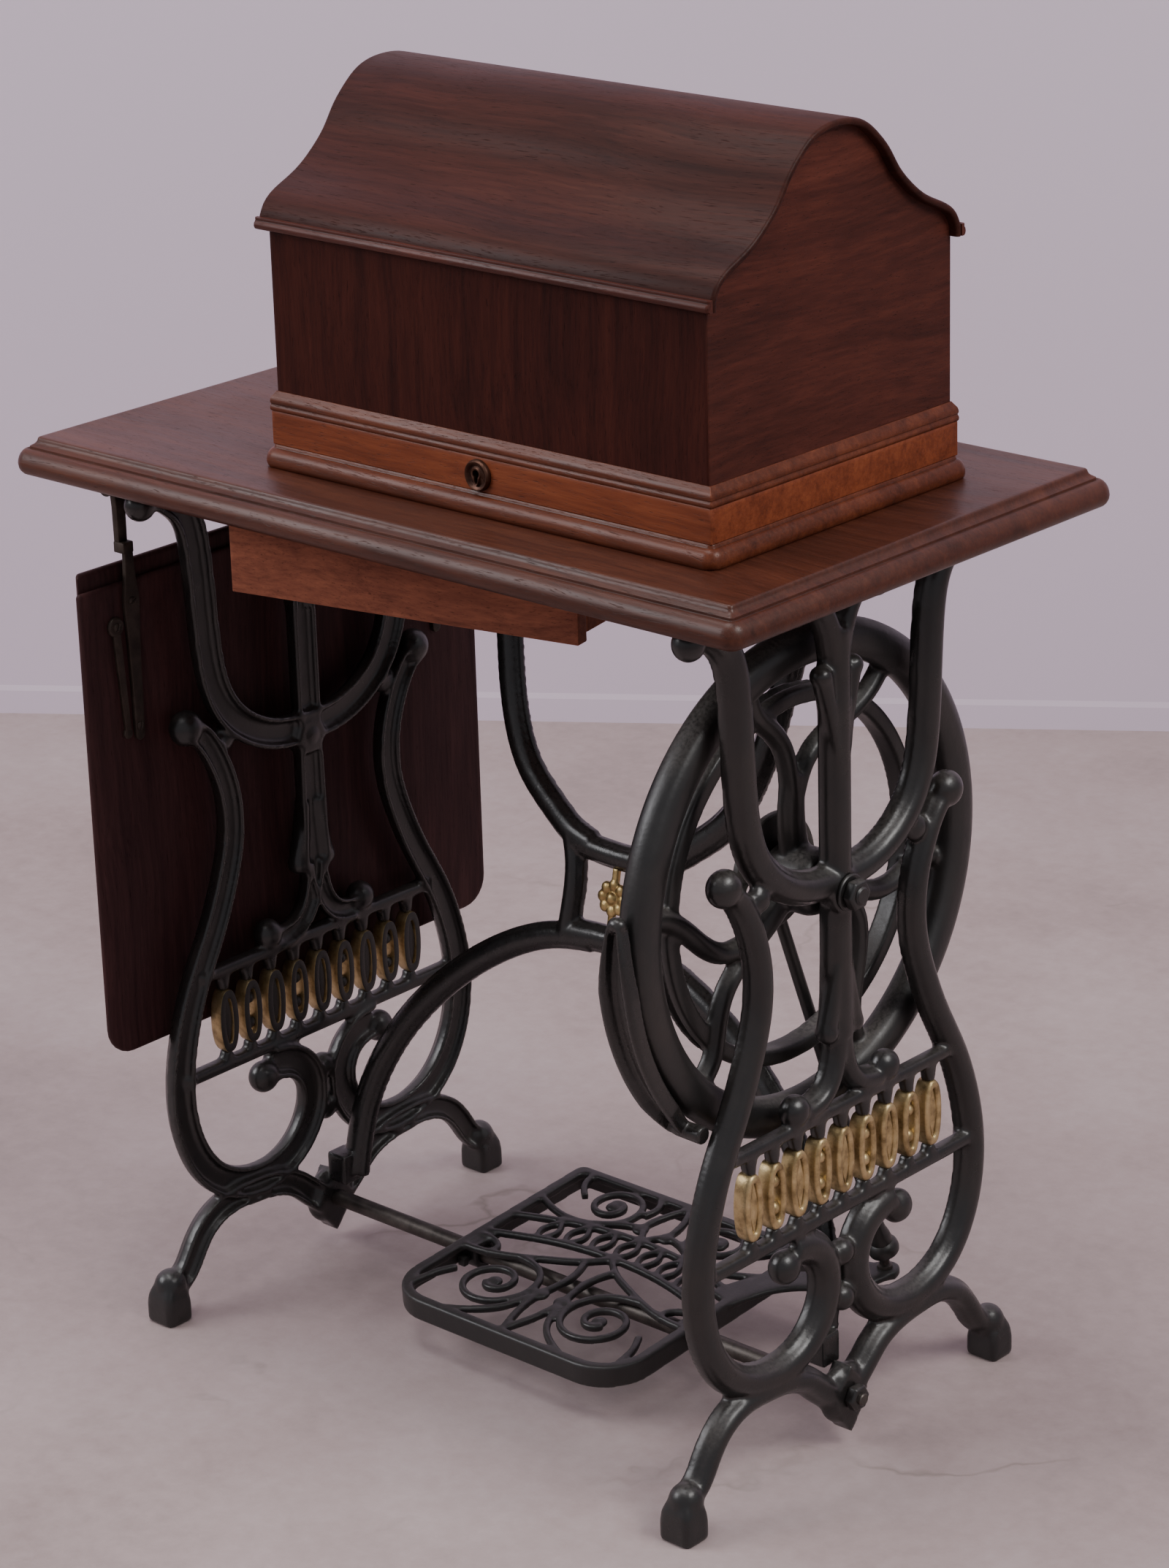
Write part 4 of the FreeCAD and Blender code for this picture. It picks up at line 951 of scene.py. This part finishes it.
def makeFrames():
    for name, s in (("left", -1), ("right", 1)):
        middle = middleOf("side_frame_" + name)
        turn = sideways(middle[0], middle[1], 0, s)
        casting = melt(meshObject("sideFrame_" + name, frameParts(s > 0), turn), 2.15, 2)
        dressPiece(casting, frameIron, "stand", "side_frame_" + name, 0, 0.006, 1)
        makeOrnaments(name, turn)


def ornamentShape(kind):
    # an open gilded link, with a lozenge or a pair of beads inside
    row = ornamentRow
    mid, tall = (row["low"] + row["high"]) / 2, (row["high"] - row["low"]) / 2
    wide, thick = row["wide"] / 2, row["thick"]
    section = [(0.0, -0.5), (0.0, 0.30), (0.12, 0.44), (0.34, 0.5), (0.66, 0.5), (0.88, 0.44), (1.0, 0.30),
               (1.0, -0.5)]
    rings = []
    for inward, depth in section:
        ring = []
        for i in range(40):
            angle = 2 * math.pi * i / 40
            c, s = math.cos(angle), math.sin(angle)
            swell = abs(c) ** 0.75 * math.copysign(1, c)
            ring.append([swell * (wide - inward * 6.0), mid + s * (tall - inward * 7.5), depth * thick])
        rings.append(ring)
    parts = [skin(rings, closed=True)]
    if kind == "bead":
        parts += [ball(0, mid + 11, 5.6, 5.5), ball(0, mid - 11, 5.6, 5.5)]
    else:
        parts += [slab([(-5.6, mid), (0, mid - 22), (5.6, mid), (0, mid + 22)], -5, 5)]
    return parts


def makeOrnaments(name, turn):
    row = ornamentRow
    gold = goldLeft if name == "left" else goldRight
    pieces = []
    for kind, count, first in (("lozenge", 5, 0), ("bead", 4, 1)):
        link = soften(meshObject("link" + kind, ornamentShape(kind)), 0.8, 2, 50)
        start = (first - (row["count"] - 1) / 2) * row["pitch"]
        pieces.append(rowOf(link, count, row["pitch"] * 2, start, gold))
    whole = joinObjects(*pieces)
    whole.name = "gildedRow_" + name
    whole.data.transform(Matrix.Translation(turn.translation * metres) @ turn.to_3x3().to_4x4())
    with editing(whole.data) as shape:
        bmesh.ops.recalc_face_normals(shape, faces=shape.faces)
    dressPiece(whole, gold, "stand", "ornaments_" + name, 40, 0.003)


def rowOf(obj, count, pitch, start, material):
    # repeats the piece along a straight row
    layOut(obj, "evenRow", {"Count": ("Int", count), "Pitch": ("Float", pitch * metres),
                            "Start": ("Float", start * metres)}, material, {
        "line": ("GeometryNodeMeshLine", {}), "first": ("ShaderNodeCombineXYZ", {}),
        "step": ("ShaderNodeCombineXYZ", {})}, [
        ("start", "Count", "line", "Count"), ("start", "Start", "first", "X"), ("start", "Pitch", "step", "X"),
        ("first", 0, "line", "Start Location"), ("step", 0, "line", "Offset"), ("line", 0, "stand", "Points"),
        ("start", "Geometry", "stand", "Instance")])
    return obj


makeFrames()
print("side frames cast")

# ---- leaning brace

braceUp = [(30, 402), (50, 408), (72, 422), (105, 450), (128, 494), (142, 552), (152, 610), (158, 660), (161, 716)]
braceDown = [(20, 328), (60, 322), (99, 307), (144, 279), (188, 240), (226, 190), (249, 132), (254, 70)]
bracePlan = {"lean": 11.3, "low": 50.0, "bar": 25, "thick": 14, "middle": 366.0}


def makeBrace():
    plan = bracePlan
    lean = math.radians(plan["lean"])
    stretch = 1 / math.cos(lean)
    rodY = middleOf("treadle_rod")[1]
    under = cadBox("table_top")[0][2]

    def leaned(points):
        return [(u, (v - plan["low"]) * stretch) for u, v in points]

    turn = Matrix.Translation((0, rodY, plan["low"])) @ Matrix.Rotation(math.pi / 2 - lean, 4, "X")
    parts = []
    for way in (lambda p: p, flipped):
        parts += [bar(way(leaned(braceUp)), castSection, plan["bar"], plan["thick"]),
                  bar(way(leaned(braceDown)), castSection, plan["bar"], plan["thick"], taper=(0.9, 1.05)),
                  bar(way(leaned([(47, 322), (45, 345), (44, 366), (46, 388), (54, 412)])), castSection, 20,
                      plan["thick"])]
    parts += [bar(leaned([(-46, 402), (0, 399), (46, 402)]), castSection, 22, plan["thick"]),
              bar(leaned([(-46, 328), (0, 331), (46, 328)]), castSection, 24, plan["thick"])]
    frame = meshObject("leaningBrace", parts, turn)
    back = rodY + (under - plan["low"]) * math.tan(lean)
    low, high = cadBox("centre_brace")
    lugs = []
    for s in (-1, 1):
        lugs += [roundedPad(s * 161, back - 4, 22, 21, under - 6, under),
                 squareBlock(min(s * high[0], s * (high[0] - 21)), max(s * high[0], s * (high[0] - 21)),
                             rodY - 10, rodY + 10, 64, 90)]
    joinObjects(frame, meshObject("braceLugs", lugs))
    cropBox(frame, 64.0, under - 0.1)
    melt(frame, 1.8, 2)
    dressPiece(frame, braceIron, "stand", "centre_brace", 0, 0.006, 1)
    makeRosette(turn, stretch)
    screws = [((s * 161, back - 17, under - 6.2), (0, 0, -1)) for s in (-1, 1)]
    lathedSet("braceScrewHeads", screws, screwHead(5, 2.4), armIron, "stand", "brace_screws", 5)


def roundedPad(x, y, halfX, halfY, low, high):
    return skin([roundedRing((x - halfX, y - halfY), (x + halfX, y + halfY), [5] * 4, z) for z in (low, high)])


def cropBox(obj, low, high):
    # trims the casting between two levels and closes the cuts
    with editing(obj.data) as shape:
        for level, up in ((low, -1), (high, 1)):
            cut = bmesh.ops.bisect_plane(shape, geom=everything(shape), plane_co=(0, 0, level * metres),
                                         plane_no=(0, 0, up), clear_outer=True)
            rim = [e for e in cut["geom_cut"] if isinstance(e, bmesh.types.BMEdge)]
            bmesh.ops.edgeloop_fill(shape, edges=rim)


def makeRosette(turn, stretch):
    plan = bracePlan
    at = (plan["middle"] - plan["low"]) * stretch
    reach = 24.0 * stretch
    petals = []
    for i in range(8):
        angle = math.radians(45 * i)
        u, v = 10.5 * math.cos(angle), at + 10.5 * math.sin(angle)
        petals.append(ball(u, v, 5.4, 3.6, 1.0))
    parts = petals + [turned([(0.01, -4), (11, -4), (12.5, -2), (12.0, 1.5), (10, 3.0), (0.01, 3.2)], (0, at, 0), 32),
                      ball(0, at, 5.2, 4.0, 2.6),
                      bar([(0, at - reach), (0, at - 18), (0, at - 10)], softSection, 6, 6, 2.0),
                      bar([(0, at + 10), (0, at + 18), (0, at + reach)], softSection, 6, 6, 2.0)]
    rosette = meshObject("braceRosette", parts, turn)
    melt(rosette, 0.8, 2)
    dressPiece(rosette, goldFront, "stand", "brace_ornament", 0, 0.002, 1)


makeBrace()
print("brace cast")

# ---- treadle

treadlePlan = {"tilt": 4, "left": -115, "right": 139, "front": -106, "back": 142, "top": 15.0, "flange": 7.0,
               "skirt": 12.0, "cornerFront": 42, "cornerBack": 8}
linkX, linkY, ballRise = 206, 150, 16  # the ball joint's place in the treadle's frame, and its rise over the plate


def spiral(cx, cy, start, reach, turns, flip=1):
    points = []
    for i in range(17):
        share = i / 16.0
        angle = math.radians(start + flip * 360 * turns * share)
        radius = reach * (1 - 0.84 * share ** 0.85)
        points.append((cx + radius * math.cos(angle), cy + radius * math.sin(angle)))
    return points


def rimLoop(inset, level):
    plan = treadlePlan
    front, back = max(plan["cornerFront"] - inset, 2), max(plan["cornerBack"] - inset * 0.2, 2)
    return roundedRing((plan["left"] + inset, plan["front"] + inset), (plan["right"] - inset, plan["back"] - inset),
                       [front, front, back, back], level, 10)


def makeTreadle():
    plan = treadlePlan
    rodLow, rodHigh = cadBox("treadle_rod")
    rodSpot = (rodLow + rodHigh) / 2
    turn = Matrix.Translation((0, rodSpot[1], rodSpot[2])) @ Matrix.Rotation(math.radians(plan["tilt"]), 4, "X")
    top, low = plan["top"], plan["top"] - plan["flange"]
    rim = skin([rimLoop(inset, level) for inset, level in (
        (0.8, low - plan["skirt"]), (0, low - plan["skirt"] + 1), (0, top - 1.2), (1.2, top), (8.6, top),
        (9.6, top - 1), (9.6, low), (6.0, low), (5.0, low - plan["skirt"]))], closed=True)
    mid = (plan["left"] + plan["right"]) / 2
    web = top - 3.2
    arch = [(plan["left"] + 8, 14), (mid - 60, 32), (mid, 38), (mid + 60, 32), (plan["right"] - 8, 14)]
    parts = [rim]

    def rib(points, width=7.0):
        parts.append(bar(points, softSection, width, 6.4, 3.0, web))

    rib(arch, 6.5)
    rib([(u, v + 34) for u, v in arch], 6.5)
    for side in (-1, 1):
        def across(points):
            return [(mid + side * u, v) for u, v in points]

        for cx, cy, start, reach, turns, flip in ((57, -44, 78, 42, 1.7, 1), (58, 104, -96, 32, 1.6, -1)):
            start = start if side > 0 else 180 - start
            rib(spiral(mid + side * cx, cy, start, reach, turns, side * flip), 6.0)
            parts.append(ball(mid + side * cx, cy, 7, 3.4, web))
        rib(across([(0, 36), (16, 22), (42, 8), (67, -3), (96, -12), (120, -14)]), 6.0)
        rib(across([(16, 22), (8, -6), (12, -38), (9, -68), (0, -96)]), 6.0)
        rib(across([(99, -44), (108, -62), (112, -84)]), 6.0)
        rib(across([(15, -46), (26, -72), (50, -92), (66, -100)]), 6.0)
        rib(across([(121, 6), (104, 6), (92, -4), (96, -14)]), 5.5)
        rib(across([(0, 70), (14, 88), (33, 84), (55, 72), (86, 70), (121, 84)]), 6.0)
        rib(across([(14, 88), (12, 108), (0, 136)]), 6.0)
        rib(across([(90, 104), (104, 120), (108, 137)]), 6.0)
        rib(across([(26, 106), (24, 122), (34, 137)]), 6.0)
        parts.append(ball(mid + side * 12, -38, 8, 3.4, web))
        parts.append(ball(mid + side * 14, 88, 7.5, 3.4, web))
    for i in range(7):  # lozenges between the two arcs
        u = mid + (i - 3) * 25.0
        level = 38 - 0.0022 * (u - mid) ** 2
        for half in (-1, 1):
            rib([(u, level + 1), (u + half * 7.5, level + 17), (u, level + 33)], 4.8)
    arm = [(plan["right"] - 14, 38), (plan["right"] - 2, 70), (plan["right"] + 22, 98), (196, 122), (linkX, linkY)]
    parts.append(bar(arm, softSection, 24, 7, 4.0, top - 3.5, taper=(1.3, 0.95)))
    parts.append(bar([(plan["right"] - 14, 136), (168, 138), (206, 146)], softSection, 20, 7, 4.0, top - 3.5))
    parts.append(spindle([(12, top - 7), (12, top - 1), (10.5, top)], (linkX, linkY, 0), 28))
    for x in (plan["left"] + 2, plan["right"] - 18):
        parts.append(turned([(7.3, 0), (12, 0), (13, 1.2), (13, 14.8), (12, 16), (7.3, 16)], (x, 0, 0), 36, 0, True))
        parts.append(squareBlock(x, x + 16, -13, 13, 6.5, 13))
    plate = melt(meshObject("treadlePlate", parts, turn), 1.6, 2)
    dressPiece(plate, treadleIron, "treadle", "treadle_plate", 0, 0.005, 1)
    for name, x in (("left", plan["left"] + 10), ("right", plan["right"] - 10)):
        bolt = meshObject("setScrew_" + name, [
            squareBlock(x - 3.8, x + 3.8, -22, -16.4, -3.8, 3.8),
            spindle([(3.6, -16.6), (3.0, -15.5), (3.0, -12.9)], (x, 0, 0), 20, 1)], turn)
        dressPiece(soften(bolt, 0.9, 2, 40), treadleIron, "treadle", "set_screw_" + name)
    ballProfile = [(9 * math.sin(math.pi * i / 16), -9 * math.cos(math.pi * i / 16)) for i in range(1, 17)]
    stud = [(0.01, top), (6.4, top), (6.4, top + 2.4), (4.2, top + 3.4), (4.0, top + 8)]
    knob = meshObject("treadleBall", [turned(stud + [(r, top + ballRise + h) for r, h in ballProfile[2:]],
                                             (linkX, linkY, 0), 32)], turn)
    dressPiece(knob, rodSteel, "treadle", "treadle_ball")
    bed = meshObject("treadleRod", [spindle([
        (4.2, rodLow[0]), (5, rodLow[0] + 1), (5, -271.2), (6.4, -271), (7, -270), (7, -120), (7, 0), (7, 150),
        (7, 270), (6.4, 271), (5, 271.2), (5, rodHigh[0] - 1), (4.2, rodHigh[0])],
        (0, rodSpot[1], rodSpot[2]), 28, 0)])
    dressPiece(bed, rodSteel, "stand", "treadle_rod")


makeTreadle()
print("treadle cast")

# ---- wheel and crank

trunk = [(0, 18), (-4, 45), (-2, 84)]
leftFork = [(-4, 50), (-8, 84), (-15, 108), (-32, 128), (-48, 144), (-54, 162), (-56, 180)]
rightFork = [(-2, 62), (12, 90), (36, 104), (64, 113), (90, 127), (108, 144), (120, 152)]
wheelPlan = {"radius": 200, "rimWide": 32, "rimDeep": 28, "belt": 148}


def turnedPoints(points, degrees):
    c, s = math.cos(math.radians(degrees)), math.sin(math.radians(degrees))
    return [(u * c - v * s, u * s + v * c) for u, v in points]


def makeWheel():
    plan = wheelPlan
    stud = middleOf("axle_washer")
    hubX = cadBox("axle_stud")[0][0] + 21
    turn = sideways(hubX, stud[1], stud[2])
    mid, halfWide, halfDeep = plan["radius"] - 16, plan["rimWide"] / 2, plan["rimDeep"] / 2
    rim = []
    for a in range(0, 360, 20):
        c, s = math.cos(math.radians(a)), math.sin(math.radians(a))
        rim.append((mid + halfWide * math.copysign(abs(c) ** 0.85, c), halfDeep * math.copysign(abs(s) ** 0.9, s)))
    belt = plan["belt"]
    groove = [(belt - 1, -23), (belt, -22), (belt - 1, -20), (belt - 5, -18), (belt - 5, -16), (belt - 1, -14),
              (belt, -12), (belt - 1, -6), (belt - 4, -5), (belt - 13, -5), (belt - 14, -6), (belt - 14, -22),
              (belt - 13, -23)]
    hub = [(21, -23), (24, -21), (26, -16), (26, 12), (24, 17), (20, 20.5), (13, 21)]
    parts = [turned(rim, sides=160, closed=True), turned(groove, sides=120, closed=True), spindle(hub, sides=48)]
    for i in range(3):
        for points, width, taper in ((trunk, 24, (1.25, 1.0)), (leftFork, 15, (1.1, 1.15)),
                                     (rightFork, 15, (1.1, 1.15))):
            parts.append(bar(turnedPoints(points, -120 * i), castSection, width, 13, 4.0, -4.5, taper))
    wheel = melt(meshObject("flywheel_casting", parts, turn), 1.9, 3)
    dressPiece(wheel, wheelIron, "wheel", "flywheel", 0, 0.006, 1)
    makeCrank(stud)
    makeAxle(stud)
    makeGuard(stud)


def makeCrank(stud):
    pin = middleOf("pitman_cap")
    turn = sideways(cadBox("crank_disc")[1][0] - 6, stud[1], stud[2])
    disc = [(20, 0.5), (40, 0.5), (42, 0), (45, 0), (46, 1), (46, 5), (45, 6)]
    plate = meshObject("crankDisc", [spindle(disc, sides=72)], turn)
    holes = []
    for i in range(5):
        angle = math.radians(76 + 60 * (i + 1))
        holes.append(spindle([(8, -4), (8, 12)], (29 * math.cos(angle), 29 * math.sin(angle), 0), 28))
    cutter = meshObject("crankHoles", holes, turn)
    pierce = plate.modifiers.new("pierce", "BOOLEAN")
    pierce.operation = "DIFFERENCE"
    pierce.solver = "EXACT"
    pierce.object = cutter
    settle(plate)
    bpy.data.objects.remove(cutter)
    soften(plate, 0.5, 2, 40)
    knob = meshObject("crankPin", [spindle([(5.2, -5), (6, -4.2), (6, 0.6)],
                                           (pin[1] - stud[1], pin[2] - stud[2], 0), 24)], turn)
    joinObjects(plate, knob)
    dressPiece(plate, wheelIron, "wheel", "crank_disc")


def makePitman():
    tilt = math.radians(treadlePlan["tilt"])
    rodSpot = middleOf("treadle_rod")
    up = treadlePlan["top"] + ballRise
    foot = np.array((linkX, rodSpot[1] + linkY * math.cos(tilt) - up * math.sin(tilt),
                     rodSpot[2] + linkY * math.sin(tilt) + up * math.cos(tilt)))
    pin = middleOf("pitman_cap")
    head = np.array((linkX, pin[1], pin[2]))
    along = (head - foot) / np.linalg.norm(head - foot)
    reach = float(np.linalg.norm(head - foot))
    side = np.array((1.0, 0, 0))
    deep = np.cross(along, side)
    turn = Matrix([[side[i], deep[i], along[i], foot[i]] for i in range(3)] + [[0, 0, 0, 1]])
    shaft = [(0.01, 8), (8.5, 8), (9.5, 12), (8.5, 18), (6.8, 24), (5.6, 40), (5.2, reach * 0.4), (5.0, reach * 0.7),
             (5.0, reach - 36), (6.6, reach - 22), (8.0, reach - 12), (0.01, reach - 11)]
    cup = [(9.4, -1.5), (10.4, -1.8), (12.4, -1.0), (13, 2), (12.4, 6), (10.2, 9.4), (6, 12), (0.01, 12.6),
           (0.01, 9.4), (4, 8.6), (7, 6.4), (8.8, 3.4)]
    ring = [(8.1, -4.6), (8.6, -5), (13.6, -5), (15, -3.6), (15, 3.6), (13.6, 5), (8.6, 5), (8.1, 4.6)]
    rod = meshObject("pitmanRod", [turned(shaft, sides=28), turned(cup, sides=32)], turn)
    eye = meshObject("pitmanEye", [turned(ring, (linkX - 0.5, pin[1], pin[2]), 40, 0, True)])
    joinObjects(rod, eye)
    dressPiece(rod, wheelIron, "pitman", "pitman_rod")
    cap = meshObject("pitmanCap", [spindle([(5.4, 198.5), (7.4, 199.4), (7.9, 200.6), (7.9, 209.8),
                                            (7.2, 210.4)], (0, pin[1], pin[2]), 32, 0)])
    dressPiece(cap, rodSteel, "pitman", "pitman_cap")


def nut(radius, low, high, centre):
    # a hexagon nut with chamfered corners about the X axis
    sign = 1 if high > low else -1
    rings = []
    for share, x in ((0.88, low), (1.0, low + sign * 1.3), (1.0, high - sign * 1.6), (0.86, high)):
        ring = []
        for i in range(6):
            angle = math.radians(60 * i)
            reach = radius * share
            ring.append([x, centre[1] + reach * math.cos(angle), centre[2] + reach * math.sin(angle)])
        rings.append(ring)
    return skin(rings)


def makeAxle(stud):
    washLow, washHigh = cadBox("axle_washer")
    nutLow, nutHigh = cadBox("axle_nut")
    pinLow, pinHigh = cadBox("axle_stud")
    centre = (0, stud[1], stud[2])
    washer = meshObject("axleWasher", [turned([
        (7.1, washLow[0]), (13.6, washLow[0]), (14.5, washLow[0] + 0.8), (14.5, washHigh[0] - 0.8),
        (13.6, washHigh[0]), (7.1, washHigh[0])], centre, 40, 0, True)])
    dressPiece(washer, wheelIron, "stand", "axle_washer")
    hexNut = soften(meshObject("axleNut", [nut(12.4, nutLow[0], nutHigh[0], stud)]), 0.6, 2, 25)
    dressPiece(hexNut, wheelIron, "stand", "axle_nut")
    pin = meshObject("axleStud", [spindle([
        (6.2, pinLow[0]), (7, pinLow[0] + 0.8), (7, pinHigh[0] - 1.4), (5.6, pinHigh[0])], centre, 32, 0)])
    dressPiece(pin, wheelIron, "stand", "axle_stud")
    for name, s in (("left", -1), ("right", 1)):
        low, high = cadBox("rod_nut_" + name)
        near, far = (high[0], low[0]) if s < 0 else (low[0], high[0])
        end = soften(meshObject("rodNut_" + name, [nut(11, near, far, (low + high) / 2)]), 0.6, 2, 25)
        dressPiece(end, frameIron, "stand", "rod_nut_" + name)


guardPlan = {"radius": 209.8, "deep": 12.4, "start": -8, "end": 46, "middle": 247, "broad": 32}


def makeGuard(stud):
    turn = sideways(0, stud[1], stud[2])
    plan = guardPlan
    lip = [(-0.5, 0.44), (-0.44, 0.5), (0.20, 0.5), (0.40, 0.47), (0.5, 0.38), (0.44, 0.28), (0.20, 0.23),
           (-0.14, 0.17)]
    section = lip + [(a, -b) for a, b in reversed(lip)]
    rings = []
    for i in range(49):
        share = i / 48.0
        angle = math.radians(plan["start"] + (plan["end"] - plan["start"]) * share)
        broad = plan["broad"] * min(1, 0.34 + 1.9 * share ** 0.8, 0.5 + 3.0 * (1 - share))
        rings.append([[-(plan["radius"] + a * plan["deep"]) * math.cos(angle),
                       -(plan["radius"] + a * plan["deep"]) * math.sin(angle), plan["middle"] + b * broad]
                      for a, b in section])
    parts = [skin(rings)]
    for degrees, reach in ((plan["start"], 7.5), (plan["end"], 9.5)):
        angle = math.radians(degrees)
        parts.append(ball(-plan["radius"] * math.cos(angle), -plan["radius"] * math.sin(angle), 6.2, reach,
                          plan["middle"]))
    angle = math.radians(plan["end"])
    parts.append(spindle([(6.4, plan["middle"]), (7, cadBox("dress_guard")[1][0])],
                         (-plan["radius"] * math.cos(angle), -plan["radius"] * math.sin(angle), 0), 24))
    guard = melt(meshObject("dressGuard", parts, turn), 1.2, 2)
    dressPiece(guard, braceIron, "stand", "dress_guard", 0, 0.004, 1)


makeWheel()
makePitman()
print("wheel cast")

# ---- small hardware that keeps its machined shape


def makeLugs():
    spots = []
    for side in ("left", "right"):
        for end in ("front", "back"):
            node = "frame_lug_%s_%s" % (side, end)
            low, high = cadBox(node)
            lug = meshObject("frameLug_%s_%s" % (side, end), [
                skin([roundedRing(low[:2], high[:2], [4] * 4, z) for z in (low[2], high[2])])])
            dressPiece(soften(lug, 0.7), frameIron, "stand", node)
            spots.append((((low[0] + high[0]) / 2, (low[1] + high[1]) / 2, low[2] - 0.1), (0, 0, -1)))
    lathedSet("lugScrewHeads", spots, screwHead(4.5, 1.9), armIron, "stand", "lug_screws", 11)


makeLugs()
for kept, finish in (("drawer_pin", rodSteel), ("lock_case", bronze)):
    mesh = frame["nodes"][kept].data
    mesh.materials.clear()
    mesh.materials.append(finish)
print("hardware made")

# ---- room, light and camera


def plainFloor():
    floor = Finish("paleFloor")
    stain = floor.noise(2.2, 6.0, 0.62)
    speck = floor.noise(60.0, 5.0, 0.7)
    colour = floor.colours(stain * 0.7 + speck * 0.3, [(0.30, (0.250, 0.192, 0.184)), (0.50, (0.348, 0.272, 0.266)),
                                                       (0.70, (0.420, 0.342, 0.342))])
    crack = floor.make("TexVoronoi", {"feature": "DISTANCE_TO_EDGE"}, {"Vector": floor.make(
        "VectorMath", {"operation": "ADD"}, {0: floor.place, 1: floor.make("VectorMath", {"operation": "SCALE"}, {
            0: floor.make("TexNoise", None, {"Vector": floor.place, "Scale": 3.0, "Detail": 5.0}, "Color"),
            "Scale": 0.5})}), "Scale": 1.3})
    line = 1 - floor.ramp(crack, 0.0, 0.006)
    colour = floor.mix(line * floor.ramp(floor.noise(4.0), 0.5, 0.62) * 0.55, colour, (0.17, 0.14, 0.12, 1))
    return floor.finish(colour, 0.55 + speck * 0.2, floor.bump(speck, 0.2, 0.002), Specular_IOR_Level=0.35)


def plainWall(name, dim, bright):
    wall = Finish(name)
    tint = wall.mix(wall.noise(0.8, 2.0), (*dim, 1), (*bright, 1))
    skinSocket = wall.make("BsdfPrincipled", None, {"Base Color": tint, "Roughness": 0.85})
    clear = wall.make("BsdfTransparent")
    behind = wall.make("NewGeometry", out="Backfacing")
    wall.join(wall.make("MixShader", None, {0: behind, 1: skinSocket, 2: clear}))
    return wall.material


def flatSheet(name, corners, material):
    mesh = bpy.data.meshes.new(name)
    mesh.from_pydata(corners, [], [list(range(len(corners)))])
    mesh.materials.append(material)
    placed(name, mesh)


room = {"wallFrom": (-1.0, 1.116), "wallRun": (math.cos(math.radians(34.7)), math.sin(math.radians(34.7))),
        "wallTall": 4.5, "span": 7.0, "skirting": (0.032, 0.039)}


def makeRoom():
    span, (wx, wy), (dx, dy) = room["span"], room["wallFrom"], room["wallRun"]
    flatSheet("floorSheet", [(-span, -span, 0), (span, -span, 0), (span, span, 0), (-span, span, 0)], plainFloor())
    left, right = (wx - dx * span, wy - dy * span), (wx + dx * span, wy + dy * span)
    flatSheet("wallSheet", [(*left, 0), (*right, 0), (*right, room["wallTall"]), (*left, room["wallTall"])],
              plainWall("paleWall", (0.550, 0.456, 0.549), (0.594, 0.496, 0.594)))
    nearer = Vector((dy, -dx, 0)) * 0.012
    low, high = room["skirting"]
    flatSheet("skirtingSheet", [Vector((*left, low)) + nearer, Vector((*right, low)) + nearer,
                                Vector((*right, high)) + nearer, Vector((*left, high)) + nearer],
              plainWall("paleSkirting", (0.64, 0.54, 0.64), (0.68, 0.58, 0.68)))


def areaLight(name, spot, aim, size, power, tint):
    lamp = bpy.data.lights.new(name, "AREA")
    lamp.shape = "RECTANGLE"
    lamp.size, lamp.size_y = size
    lamp.energy = power
    lamp.color = tint
    obj = placed(name, lamp)
    obj.location = spot
    obj.rotation_euler = (Vector(aim) - Vector(spot)).to_track_quat("-Z", "Y").to_euler()


def makeLights():
    world = bpy.data.worlds.new("softRoom")
    world.use_nodes = True
    world.node_tree.nodes["Background"].inputs["Color"].default_value = (0.86, 0.84, 0.90, 1)
    world.node_tree.nodes["Background"].inputs["Strength"].default_value = 0.50
    bpy.context.scene.world = world
    areaLight("keySoftbox", (2.6, 0.3, 3.0), (0.1, 0, 0.5), (1.8, 1.4), 90, (1.0, 0.98, 0.96))
    areaLight("fillSoftbox", (-2.4, -2.6, 2.6), (0, 0, 0.5), (2.2, 1.8), 95, (0.98, 0.97, 1.0))
    areaLight("overheadSoftbox", (-0.3, -0.6, 3.6), (0, 0, 0.6), (2.4, 1.6), 62, (1.0, 0.99, 0.98))


def makeCamera():
    azimuth, elevation, roll = math.radians(42.61), math.radians(20.45), math.radians(-1.754)
    back = Vector((math.sin(azimuth) * math.cos(elevation), -math.cos(azimuth) * math.cos(elevation),
                   math.sin(elevation)))
    right = Vector((math.cos(azimuth), math.sin(azimuth), 0))
    up = back.cross(right)
    across = right * math.cos(roll) + up * math.sin(roll)
    above = -right * math.sin(roll) + up * math.cos(roll)
    lens = bpy.data.cameras.new("roomCamera")
    lens.lens = 99.26
    lens.sensor_width = 36
    lens.shift_x = 0.00506
    lens.shift_y = 0.00459
    obj = placed("roomCamera", lens)
    facing = Matrix((across, above, back)).transposed().to_4x4()
    obj.matrix_world = Matrix.Translation((2.1523, -2.3210, 1.6548)) @ facing
    bpy.context.scene.camera = obj


makeRoom()
makeLights()
makeCamera()
print("scene ready")
